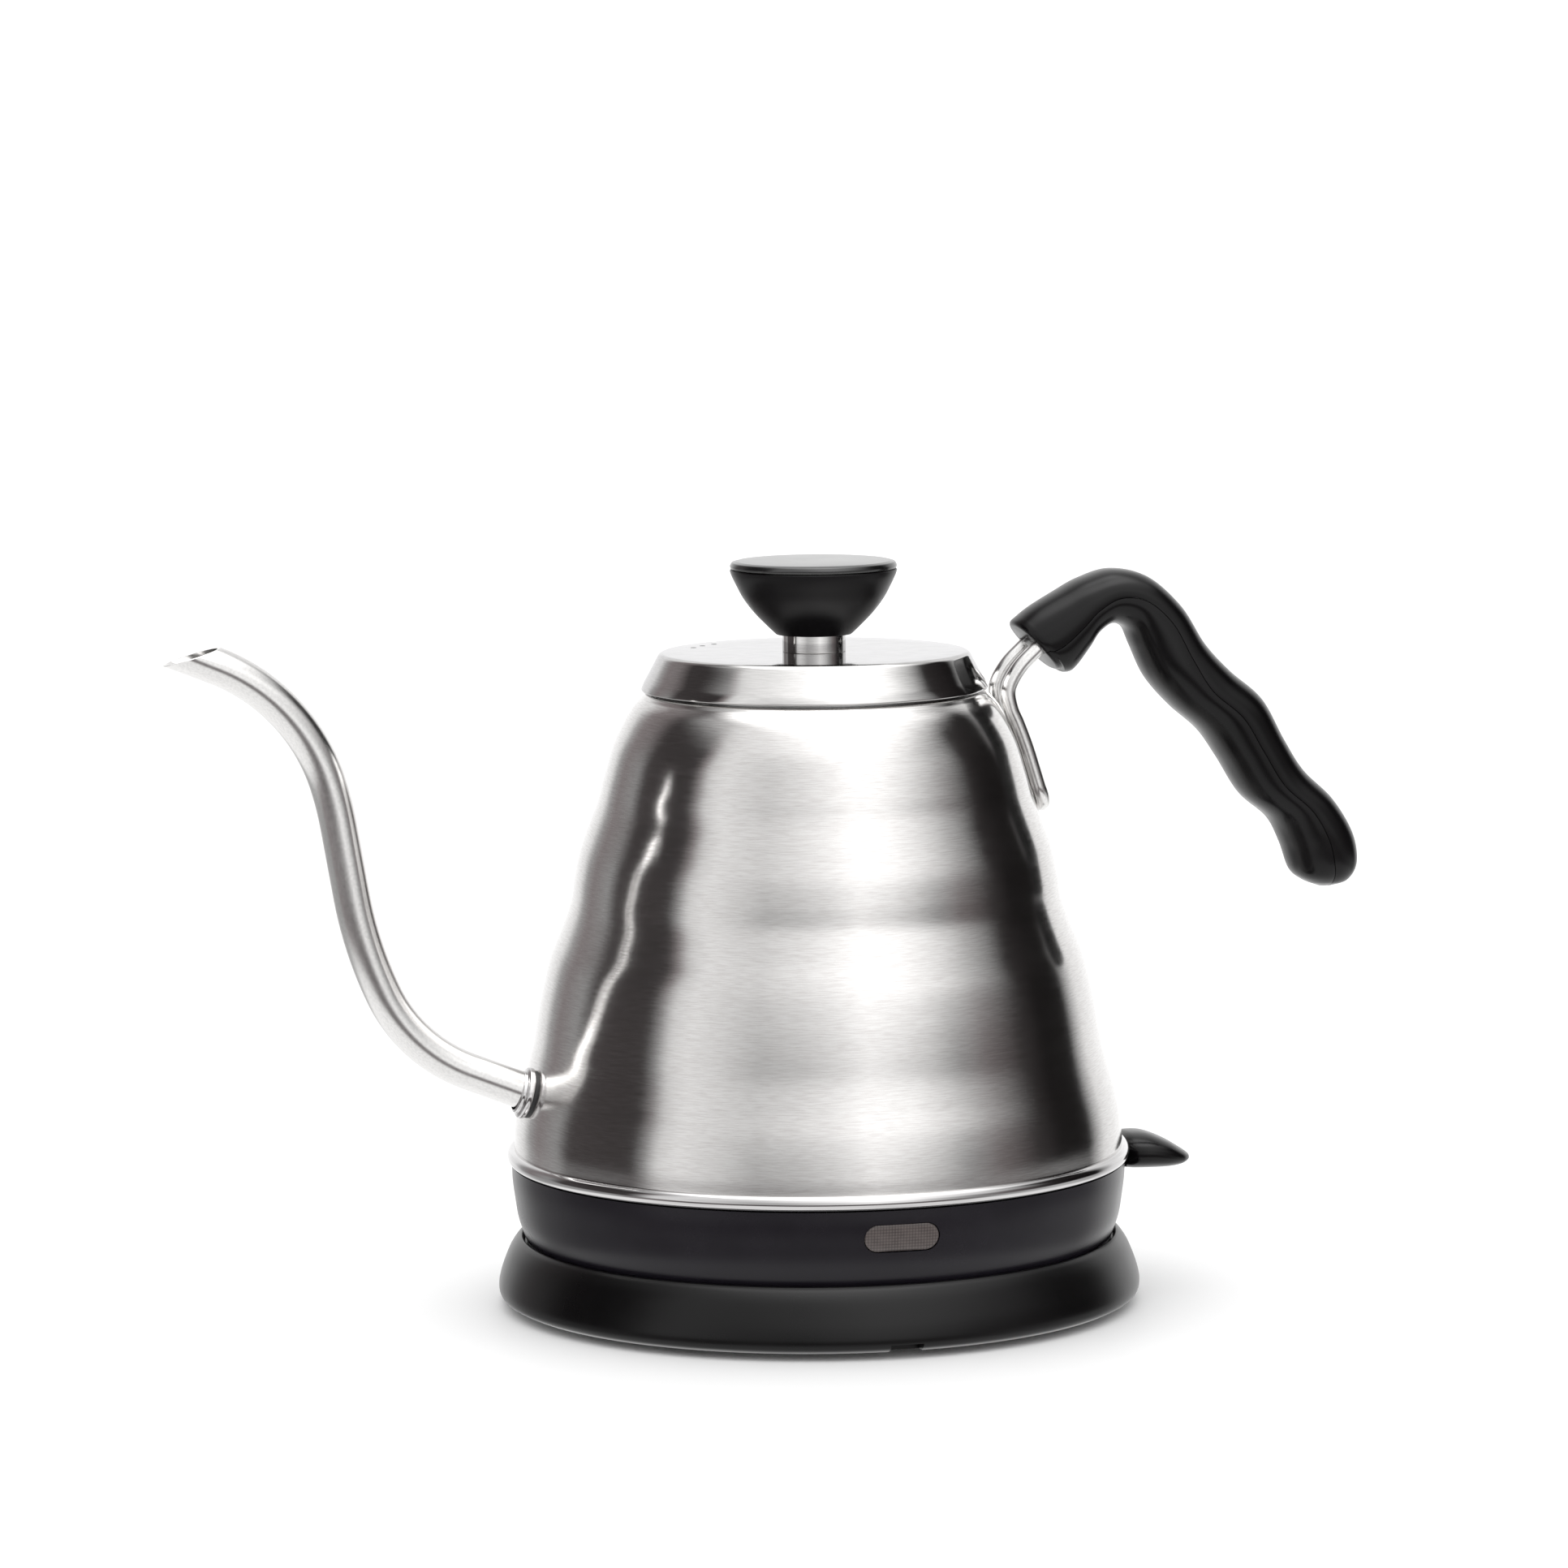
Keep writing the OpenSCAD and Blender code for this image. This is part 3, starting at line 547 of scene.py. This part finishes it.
# ---------------------------------------------------------------- spout
def spout_line(step_deg=1.5):
    """Points down the middle of the spout, and the slope at its end."""
    x, z = SPOUT_ROOT
    a = math.radians(SPOUT_RISE)
    out = [(x, 0, z)]
    for turn, size in SPOUT_PATH:
        n = max(3, round(abs(turn) / step_deg))
        for _ in range(n):
            if turn == 0:
                x, z = x - size / n * math.cos(a), z + size / n * math.sin(a)
            else:
                b = a + math.radians(turn) / n
                s = math.copysign(size, turn)
                x, z = x + s * (math.sin(a) - math.sin(b)), z + s * (math.cos(a) - math.cos(b))
                a = b
            out.append((x, 0, z))
    return out, a


def slanted(ring, slope, short):
    """Slides a ring along the spout until it lies short of the mouth's slanting plane."""
    along = np.array([-math.cos(slope), 0, math.sin(slope)])
    tilt = math.radians(MOUTH_SLOPE)
    square_to = np.array([-math.sin(tilt), 0, math.cos(tilt)])
    at = np.array([MOUTH_AT[0], 0, MOUTH_AT[1]])
    out = []
    for p in ring:
        reach = square_to @ (at - np.array(p)) / (square_to @ along) - short
        out.append(tuple(np.array(p) + along * reach))
    return out


def make_spout():
    """A tube that is open at both ends and cut off at a slant at the mouth."""
    line, slope = spout_line()
    bore = SPOUT_R - SPOUT_WALL

    def rings(r):
        return bar_rings(line, r, 64, (0, 1, 0))

    outer = rings(SPOUT_R)
    inner = rings(bore)
    lip = [slanted(rings(r)[-1], slope, short)
           for r, short in ((SPOUT_R, 0.16), (SPOUT_R - 0.07, 0.04), (SPOUT_R - 0.2, 0),
                            (bore + 0.15, 0), (bore, 0.1))]
    keep = len(line) - 4
    tube = loft("kettle_spout", outer[:keep] + lip + list(reversed(inner[:keep])), 40, True)
    return finish_piece(tube, "kettle", "tube_steel", tube_steel, "spout_tube")


def make_collar():
    """The rolled flange where the spout meets the body, and a black ring behind it that is painted
    shade for the shaded gap between collar and body.
    """
    bore = SPOUT_R + 0.02
    outline = rounded([(bore, 0), (bore + 1, 0, 0.4), (bore + 1.62, 0.4, 0.5),
                       (bore + 1.62, 1.6, 0.6), (bore + 0.6, 1.9, 0.2), (bore + 0.6, 2.6, 0.35),
                       (bore, 2.8)], 6)
    obj = lathe("kettle_spout_collar", outline, 96)
    place_along(obj, COLLAR_AT, COLLAR_RISE)
    finish_piece(obj, "kettle", "polished_steel", polished_steel, "spout_collar")
    # A black ring in the gap behind the collar: painted shade, standing in for the shade that falls
    # there
    gap_shade_ring = lathe("spout_gap_shade_ring", rounded([(bore, 0), (bore + 1.2, 0), (bore + 1.2, 1.6, 0.2),
                                        (bore, 1.6)], 4), 96)
    place_along(gap_shade_ring, COLLAR_GAP_SHADE_AT, COLLAR_RISE)
    finish_piece(gap_shade_ring, "kettle", "inner_black", inner_black)


# ---------------------------------------------------------------- handle and bracket
def bulge(v):
    """A sine or cosine pushed outwards, so that a round section becomes slightly square."""
    return math.copysign(abs(v) ** (2 / GRIP_SQUARE), v)


def grip_ring(k, side, points, shrink=0.0, shift=0.0):
    """One half of a section; the points next to the seam step in to leave a fine groove."""
    inner, outer = np.array(k[:2]), np.array(k[2:4])
    half = (outer - inner) / 2
    depth = np.linalg.norm(half)
    ahead = np.array([half[1], -half[0]]) / depth
    mid = (inner + outer) / 2 + ahead * shift
    half = half * (1 - shrink / depth)
    width = k[4] - shrink
    seam = 2 * k[5] - 1
    start = math.asin(math.copysign(abs(seam) ** (GRIP_SQUARE / 2), seam))
    a0, a1 = (start, math.pi - start) if side > 0 else (math.pi - start, 2 * math.pi + start)
    out = []
    for i in range(points + 1):
        a = a0 + (a1 - a0) * i / points
        groove = SEAM_GROOVE if i in (0, points) else 0
        p = mid + bulge(math.sin(a)) * half + half / depth * side * groove / 2
        out.append((p[0], (width - groove) * bulge(math.cos(a)), p[1]))
    return out


def into_handle(y, reach):
    """A point reach mm along the bracket's way into the handle."""
    foot, end = np.array(LEG[2]), np.array(LEG[0])
    x, z = foot + (end - foot) / np.linalg.norm(end - foot) * reach
    return (x, y, z)


def make_grip(side, name, node):
    """One half of the handle: side is 1 for the upper and -1 for the lower."""
    stations = smooth(GRIP, 4 * FINE)

    def middle(station):
        return np.array(station[:4]).reshape(2, 2).mean(0)

    first = stations[0]
    past = [k for k in stations if np.linalg.norm(middle(k) - middle(first)) > 1.3]
    points = 14 * FINE
    rings = []
    for a in (0, 0.35, 0.7, 1.05, math.pi / 2):
        rings.append(grip_ring(first, side, points, FACE_EDGE * (1 - math.sin(a)),
                               FACE_EDGE * (1 - math.cos(a))))
    rings += [grip_ring(k, side, points) for k in past]
    obj = loft(name, rings)
    for y in (-LEG_Y, LEG_Y):
        cut(obj, rod(into_handle(y, -4), into_handle(y, LEG_HOLE[1]), LEG_HOLE[0]))
    for r, depth in (HEAD_HOLE, SHANK_HOLE):
        cut(obj, rod(into_handle(0, -5), into_handle(0, depth), r))
    return finish_piece(obj, "kettle", "handle_black", handle_black, node)


def make_weld_plate():
    """A thin plate that follows the body: two circles and the lines that touch both."""
    lean = math.asin((PLATE_TOP[1] - PLATE_LOW[1]) / (PLATE_TOP[0] - PLATE_LOW[0]))
    outline = []
    for (height, r), start, end in ((PLATE_TOP, lean, math.pi - lean),
                                    (PLATE_LOW, math.pi - lean, 2 * math.pi + lean)):
        outline += [(r * math.cos(a), height + r * math.sin(a))
                    for a in np.linspace(start, end, 33)]
    shape = smooth(BODY, BODY_STEPS)
    rings = []
    for share, lift in PLATE_RINGS:
        ring = []
        for y, z in outline:
            y, z = y * share, PLATE_MIDDLE_Z + (z - PLATE_MIDDLE_Z) * share
            r = radius_at(shape, z) + lift
            ring.append((math.sqrt(r * r - y * y), y, z))
        rings.append(ring)
    obj = loft("bracket_weld_plate", rings)
    return finish_piece(obj, "kettle", "tube_steel", tube_steel, "weld_plate")


def make_bracket():
    """One rod: down one leg, round the bend and up the other."""
    leg = smooth(LEG, 8)
    foot = LEG[-1]
    bend = []
    steps = 24
    for k in range(1, steps):
        t = math.pi * k / steps
        drop = LEG_Y * math.sin(t)
        bend.append((foot[0] + BEND_DROP[0] * drop, -LEG_Y * math.cos(t),
                     foot[1] + BEND_DROP[1] * drop))
    path = [(x, -LEG_Y, z) for x, z in leg] + bend + [(x, LEG_Y, z) for x, z in reversed(leg)]
    obj = loft("handle_bracket_rod", bar_rings(path, ROD_R, 32, ROD_UP))
    return finish_piece(obj, "kettle", "tube_steel", tube_steel, "handle_bracket")


# ---------------------------------------------------------------- lid and knob
def make_lid():
    """The lid's cover: a flat top, a slanting side, a rounded rim and three vents."""
    side = smooth(LID_SIDE, 6)
    rim = rounded([(38.2, 140.75), (39.6, 140.75, 1.1), side[2]], 8)
    outer = rim[:-1] + [p for p in side[2:] if p[1] < 147.4]
    top = rounded([(36.2, 147.45), (35.25, LID_TOP, 1.6), (2.2, LID_TOP)], 8)[1:]
    inner = [(2.2, 148.6), (34.6, 148.6)] + list(reversed(inset(side, LID_WALL))) + [(38.5, 141)]
    flat = [(r, LID_TOP) for r in (28, 20, 12)]
    obj = lathe("lid_cover_shell", outer + top[:-1] + flat + top[-1:] + inner, AROUND)
    for turn in VENT_TURNS:
        a = math.radians(turn)
        x, y = VENT_CIRCLE_R * math.cos(a), VENT_CIRCLE_R * math.sin(a)
        cut(obj, rod((x, y, 147.5), (x, y, 150.5), VENT_R, 24))
    return finish_piece(obj, "lid", "lid_steel", lid_steel, "lid_cover")


def make_neck():
    """The steel sleeve between lid and knob."""
    outline = rounded([(7.2, 149.32, 0.15), (7.2, 153.28, 0.15), (2.1, 153.28), (2.1, 149.32)])
    return finish_piece(lathe("knob_neck_sleeve", outline, 128), "lid", "lid_steel", lid_steel,
                        "knob_neck")


def make_knob():
    """The bowl of the knob."""
    bowl = smooth(KNOB, 6)
    rim = rounded([(19, 167.85), (18.85, 168.05, 0.12), (18, 168.05, 0.1), (17.9, 167.7)], 4)
    obj = lathe("knob_bowl_shell", [(2.1, 153.3)] + bowl + rim[1:] + [(2.1, 167.7)], 192)
    return finish_piece(obj, "lid", "knob_black", knob_black, "knob_bowl")


def make_cap():
    """The flat disc on top of the knob."""
    outline = rounded([(0, 167.72), (17.8, 167.72, 0.1), (17.8, 168.3, 0.1), (18.85, 168.3, 0.15),
                       (19, 168.9, 0.4), (18.6, 169.7, 0.5), (17.4, 169.98, 0.8), (12, 170.06),
                       (6, 170.09), (0, 170.1)], 5)
    return finish_piece(lathe("knob_cap_disc", outline, 192), "lid", "knob_black", cap_black,
                        "knob_cap")


# ---------------------------------------------------------------- black band, lens and lever
def pipe_about(at, r_out, r_in, low, high, axis="Z", sides=48):
    """A short tube from low to high about an axis through at."""
    outline = rounded([(r_in, low), (r_out, low, 0.15), (r_out, high, 0.15), (r_in, high)], 3)
    obj = lathe("tube", outline, sides)
    turn = Matrix.Rotation(-math.pi / 2, 4, "X") if axis == "Y" else Matrix.Identity(4)
    obj.data.transform(Matrix.Translation(Vector(at) * MM) @ turn)
    return obj


def make_shroud():
    """The black band with its lamp window, the opening for the lever and the bosses inside."""
    outer = smooth(SHROUD, SHROUD_STEPS)
    inner = list(reversed(inset(outer, SHROUD_WALL)))
    obj = lathe("kettle_band", outer + inner, AROUND)
    cut(obj, slot_tool(LENS_W + LENS_GAP, LENS_H + LENS_GAP, LENS_Z, -74, -62))
    cut(obj, block((70, 0, 30), (8, 12, 10)))
    parts = [obj]
    for deg in BOSS_TURNS:
        a = math.radians(deg)
        x, y = BOSS_CIRCLE_R * math.cos(a), BOSS_CIRCLE_R * math.sin(a)
        parts.append(pipe_about((x, y, 0), *BOSS))
        web = block((64.5, 0, 25), (6, 2, 10))
        web.data.transform(Matrix.Rotation(a, 4, "Z"))
        parts.append(web)
    obj = join("kettle_band", parts)
    return finish_piece(obj, "kettle", "band_black", band_black, "shroud")


def make_lens():
    """A shallow cushion that follows the band, from its rim in to its middle."""
    band = smooth(SHROUD, SHROUD_STEPS)
    rings = []
    for share, dip in LENS_RINGS:
        ring = []
        for x, dz in stadium(LENS_W - (1 - share) * LENS_H, LENS_H * share, 20):
            r = radius_at(band, LENS_Z + dz) - dip
            ring.append((x, -math.sqrt(r * r - x * x), LENS_Z + dz))
        rings.append(ring)
    obj = loft("lamp_window", rings)
    return finish_piece(obj, "kettle", "lens_smoke", lens_smoke, "lamp_lens")


def make_lever():
    """The paddle outside the band, and the arm and pivot eye inside it."""
    rings = []
    turn = 2 * math.pi * np.arange(64) / 64
    for x, low, high, w in smooth(PADDLE, 4 * FINE):
        mid, half = (low + high) / 2, (high - low) / 2
        rings.append([(x, w * bulge(math.cos(a)), mid + half * bulge(math.sin(a))) for a in turn])
    x, z = LEVER_PIVOT
    parts = [loft("paddle", rings, 50), block((x + 7.4, 0, z + 0.4), (8.2, 10, 4)),
             pipe_about((x, 0, z), 3.2, 1.55, -5, 5, "Y"), block((x - 4.9, 0, z - 0.4), (4, 4, 2.2))]
    obj = join("switch_paddle", parts, 50)
    return finish_piece(obj, "lever", "handle_black", handle_black, "switch_lever")


# ---------------------------------------------------------------- power base
def make_base():
    """The base's cover: its rim, the recess inside it, the notch in front and the cord's hole."""
    outer = smooth(BASE, 8)
    rim = rounded([(68.7, 15.7), (68.2, 15.95, 0.3), (67.75, 15.5, 0.3), (67.6, 14.3, 0.4),
                   (15.7, 14.3, 0.3), (15.7, 12.3)], 5)
    under = [(64, 12.3), (68.4, 11.6), (70.3, 8), (71.2, 4.6), (70.6, 3.7), (69.5, 3.6),
             (69.5, 1.5)]
    obj = lathe("base_cover_shell", outer[:-1] + rim + under, AROUND)
    cut(obj, block((0, -71, 2), (7.5, 6, 2.6)))
    cut(obj, rod((0, 60, 7.8), (0, 76, 7.8), 4.3))
    return finish_piece(obj, "power_base", "base_black", base_black, "base_cover")


# ---------------------------------------------------------------- CAD nodes that stay
CAD_FINISH = {
    base_black: ["base_plate"],
    foot_rubber: ["base_feet"],
    inner_steel: ["base_screws", "clamp_screws", "cover_screws", "handle_screw", "knob_screw",
                  "lever_pin", "rocker_pin", "floor_pan", "steam_tube", "lid_liner",
                  "thermal_discs", "steam_disc", "element_pins", "heating_element"],
    inner_black: ["base_socket", "plug_housing", "cord_gland", "kettle_cover", "switch_frame"],
    brass: ["socket_contacts", "plug_rings", "plug_pin", "fixed_contacts", "rocker_contact"],
    ivory_plastic: ["cord_clamp", "lamp_holder", "control_unit", "trip_rocker"],
    lamp_glass: ["lamp_bulb"],
    red_wire: ["lamp_leads"],
    aluminium: ["heat_spreader"],
    grommet_rubber: ["steam_grommet"]}


def finish_cad_nodes():
    """Gives every CAD node that stays its material."""
    for mat, names in CAD_FINISH.items():
        for name in names:
            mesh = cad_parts[name].data
            mesh.materials.clear()
            mesh.materials.append(mat)


# ---------------------------------------------------------------- stage
# Camera: turn round the object, rise above level and roll in degrees; the rest in metres, with
# the lens in millimetres
CAMERA_TURN = -15
CAMERA_RISE = 6.65
CAMERA_ROLL = 0.5
CAMERA_LENS = 149.15
CAMERA_SENSOR = 36
CAMERA_DISTANCE = 1.48
TARGET_HEIGHT = 0.11894
TARGET_SHIFT = -0.0071
FLOOR_HALF = 6000


def make_camera():
    """The view: 15 degrees round towards the spout and a little above level."""
    azimuth, rise, roll = (math.radians(d) for d in (CAMERA_TURN, CAMERA_RISE, CAMERA_ROLL))
    back = Vector((math.sin(azimuth) * math.cos(rise), -math.cos(azimuth) * math.cos(rise),
                   math.sin(rise)))
    right = Vector((math.cos(azimuth), math.sin(azimuth), 0))
    up = back.cross(right)
    target = Vector((0, 0, TARGET_HEIGHT)) + right * TARGET_SHIFT
    data = bpy.data.cameras.new("camera")
    data.lens = CAMERA_LENS
    data.sensor_width = CAMERA_SENSOR
    camera = bpy.data.objects.new("camera", data)
    turn = Matrix((right * math.cos(roll) - up * math.sin(roll),
                   right * math.sin(roll) + up * math.cos(roll), back)).transposed()
    camera.matrix_world = Matrix.Translation(target + back * CAMERA_DISTANCE) @ turn.to_4x4()
    bpy.context.scene.collection.objects.link(camera)
    bpy.context.scene.camera = camera


def make_floor():
    """A white ground that shows in no reflection."""
    verts = [(x * FLOOR_HALF, y * FLOOR_HALF, 0) for x, y in ((-1, -1), (1, -1), (1, 1), (-1, 1))]
    floor = new_mesh("floor", verts, [(0, 1, 2, 3)])
    p = Paint("floor", (0.93, 0.93, 0.935), 0.6)
    p.link(p.ramp(p.noise(p.place((1, 1, 1)), 3), [(0.3, 0.925), (0.7, 0.935)]),
           p.shader.inputs["Base Color"])
    floor.data.materials.append(p.mat)
    floor.visible_glossy = False


# Light round the object, by turn from where the camera stands: (degrees, brightness), for rays that
# leave steeply down, slightly down, about level, at 28 to 33 degrees and at 55 degrees or more
STUDIO_UNDER = [(-180, 1.1), (0, 0.95), (180, 1.1)]
STUDIO_BELOW = [(-180, 1.2), (-152, 0.85), (-136, 0.45), (-112, 0.4), (-84, 0.35), (-66, 0.2),
                (-50, 0.14), (0, 0.1), (50, 0.16), (66, 0.35), (84, 0.5), (104, 0.6),
                (126, 0.45), (140, 0.9), (158, 1.1), (180, 1.2)]
STUDIO_LEVEL = [(-180, 1.2), (-160, 1.1), (-149, 0.95), (-141, 0.4), (-132, 0.25), (-117, 0.36),
                (-109, 0.07), (-74, 0.05), (-69, 0.3), (-63, 0.9), (-54, 1.02), (-40, 0.85),
                (-24, 0.57), (-8, 0.66), (8, 0.9), (21, 1.2), (32, 1.02), (46, 0.72), (58, 0.38),
                (72, 0.18), (90, 0.04), (104, 0.01), (124, 0.01), (130, 0.5), (138, 1), (155, 1.15),
                (180, 1.2)]
STUDIO_MIDDLE = [(-180, 0.95), (-152, 0.9), (-136, 0.26), (-122, 0.2), (-110, 0.05), (-74, 0.04),
                 (-69, 0.25), (-63, 0.85), (-54, 1.02), (-40, 0.92), (-27, 0.86), (-10, 1.04),
                 (5, 1.25), (21, 1.6), (38, 1.55), (50, 1.3), (62, 1.02), (74, 0.65), (86, 0.35),
                 (96, 0.03), (122, 0.01), (130, 0.4), (138, 0.9), (180, 0.95)]
STUDIO_HIGH = [(-180, 0.9), (-140, 0.4), (-118, 0.1), (-98, 0.5), (-60, 0.98), (-38, 1.15),
               (-13, 1.4), (9, 1.8), (33, 2), (56, 1.8), (78, 1.6), (105, 1.5), (124, 0.8),
               (150, 0.6), (180, 0.9)]
# Greatest value of the first three tables, and of the last two
LOW_TOP = 1.2
HIGH_TOP = 2
# Rise of the ray in degrees over which each table gives way to the next
TO_BELOW = (-34, -24)
TO_LEVEL = (-16, -6)
TO_MIDDLE = (5, 28)
TO_HIGH = (33, 55)
# Light straight above: how bright, and the share of a ray's length that is upwards
OVERHEAD_LIGHT = 2.2
OVERHEAD_FROM = 0.8
OVERHEAD_FULL = 0.95
# Light on matt surfaces, and the brightness of the background
EVEN_LIGHT = 1.36
# Dark stretches are slightly warm
DARK_BELOW = 0.3
DARK_TINT = (1.08, 0.96, 0.97)


def make_studio():
    """World light: white behind, dark flags to both sides, soft light in front and above."""
    world = bpy.data.worlds.new("studio")
    bpy.context.scene.world = world
    world.use_nodes = True
    world.cycles.sampling_method = "NONE"
    tree = world.node_tree
    tree.nodes.clear()

    def add(kind, **values):
        made = tree.nodes.new(kind)
        for key, value in values.items():
            setattr(made, key, value)
        return made

    # The tables count from the front as seen in the first view
    coord = add("ShaderNodeTexCoord")
    turned = add("ShaderNodeMapping")
    turned.inputs["Rotation"].default_value = (0, 0, -math.radians(CAMERA_TURN))
    tree.links.new(coord.outputs["Generated"], turned.inputs["Vector"])
    parts = add("ShaderNodeSeparateXYZ")
    tree.links.new(turned.outputs["Vector"], parts.inputs["Vector"])

    # Turn about Z, as a share of the whole circle
    flip = add("ShaderNodeMath", operation="MULTIPLY")
    flip.inputs[1].default_value = -1
    tree.links.new(parts.outputs["Y"], flip.inputs[0])
    angle = add("ShaderNodeMath", operation="ARCTAN2")
    tree.links.new(parts.outputs["X"], angle.inputs[0])
    tree.links.new(flip.outputs["Value"], angle.inputs[1])
    share = add("ShaderNodeMapRange")
    share.inputs["From Min"].default_value = -math.pi
    share.inputs["From Max"].default_value = math.pi
    tree.links.new(angle.outputs["Value"], share.inputs["Value"])

    def ring(stops, top):
        """Brightness by turn; a ramp holds 0 to 1, so it is scaled by its greatest value."""
        ramp = add("ShaderNodeValToRGB")
        points = ramp.color_ramp.elements
        while len(points) < len(stops):
            points.new(0.5)
        for point, (deg, value) in zip(points, stops):
            point.position = (deg + 180) / 360
            tint = DARK_TINT if value < DARK_BELOW else (1, 1, 1)
            point.color = tuple(value / top * t for t in tint) + (1,)
        tree.links.new(share.outputs["Result"], ramp.inputs["Fac"])
        scaled = add("ShaderNodeVectorMath", operation="SCALE")
        scaled.inputs["Scale"].default_value = top
        tree.links.new(ramp.outputs["Color"], scaled.inputs[0])
        return scaled.outputs["Vector"]

    # The mix node's vector sockets, which share their names with those of other types
    mix_a, mix_b, mix_out = 4, 5, 1

    def blend(low, high, start, end):
        """Goes over from low to high as the ray's rise passes start to end, in degrees."""
        climb = add("ShaderNodeMapRange", interpolation_type="SMOOTHSTEP")
        climb.inputs["From Min"].default_value = math.sin(math.radians(start))
        climb.inputs["From Max"].default_value = math.sin(math.radians(end))
        tree.links.new(parts.outputs["Z"], climb.inputs["Value"])
        mix = add("ShaderNodeMix", data_type="VECTOR")
        tree.links.new(climb.outputs["Result"], mix.inputs["Factor"])
        tree.links.new(low, mix.inputs[mix_a])
        tree.links.new(high, mix.inputs[mix_b])
        return mix.outputs[mix_out]

    below = blend(ring(STUDIO_UNDER, LOW_TOP), ring(STUDIO_BELOW, LOW_TOP), *TO_BELOW)
    level = blend(below, ring(STUDIO_LEVEL, LOW_TOP), *TO_LEVEL)
    lower = blend(level, ring(STUDIO_MIDDLE, HIGH_TOP), *TO_MIDDLE)
    whole = blend(lower, ring(STUDIO_HIGH, HIGH_TOP), *TO_HIGH)

    overhead = add("ShaderNodeMapRange", interpolation_type="SMOOTHSTEP")
    overhead.inputs["From Min"].default_value = OVERHEAD_FROM
    overhead.inputs["From Max"].default_value = OVERHEAD_FULL
    overhead.inputs["To Max"].default_value = OVERHEAD_LIGHT
    tree.links.new(parts.outputs["Z"], overhead.inputs["Value"])
    total = add("ShaderNodeVectorMath", operation="ADD")
    tree.links.new(whole, total.inputs[0])
    tree.links.new(overhead.outputs["Result"], total.inputs[1])

    # Reflections see the tables; matt surfaces and the background the even light
    light = add("ShaderNodeBackground")
    tree.links.new(total.outputs["Vector"], light.inputs["Color"])
    even = add("ShaderNodeBackground")
    even.inputs["Color"].default_value = (1, 1, 1, 1)
    even.inputs["Strength"].default_value = EVEN_LIGHT
    ray = add("ShaderNodeLightPath")
    plain = add("ShaderNodeMath", operation="MAXIMUM")
    tree.links.new(ray.outputs["Is Camera Ray"], plain.inputs[0])
    tree.links.new(ray.outputs["Is Diffuse Ray"], plain.inputs[1])
    choose = add("ShaderNodeMixShader")
    tree.links.new(plain.outputs["Value"], choose.inputs["Fac"])
    tree.links.new(light.outputs["Background"], choose.inputs[1])
    tree.links.new(even.outputs["Background"], choose.inputs[2])
    out = add("ShaderNodeOutputWorld")
    tree.links.new(choose.outputs["Shader"], out.inputs["Surface"])


make_camera()
make_body()
make_seam_ring()
make_spout()
make_collar()
make_grip(1, "handle_upper_half", "handle_upper")
make_grip(-1, "handle_lower_half", "handle_lower")
make_weld_plate()
make_bracket()
make_lid()
make_neck()
make_knob()
make_cap()
make_shroud()
make_lens()
make_lever()
make_base()
finish_cad_nodes()
make_floor()
make_studio()
bpy.context.scene.view_settings.view_transform = "Standard"
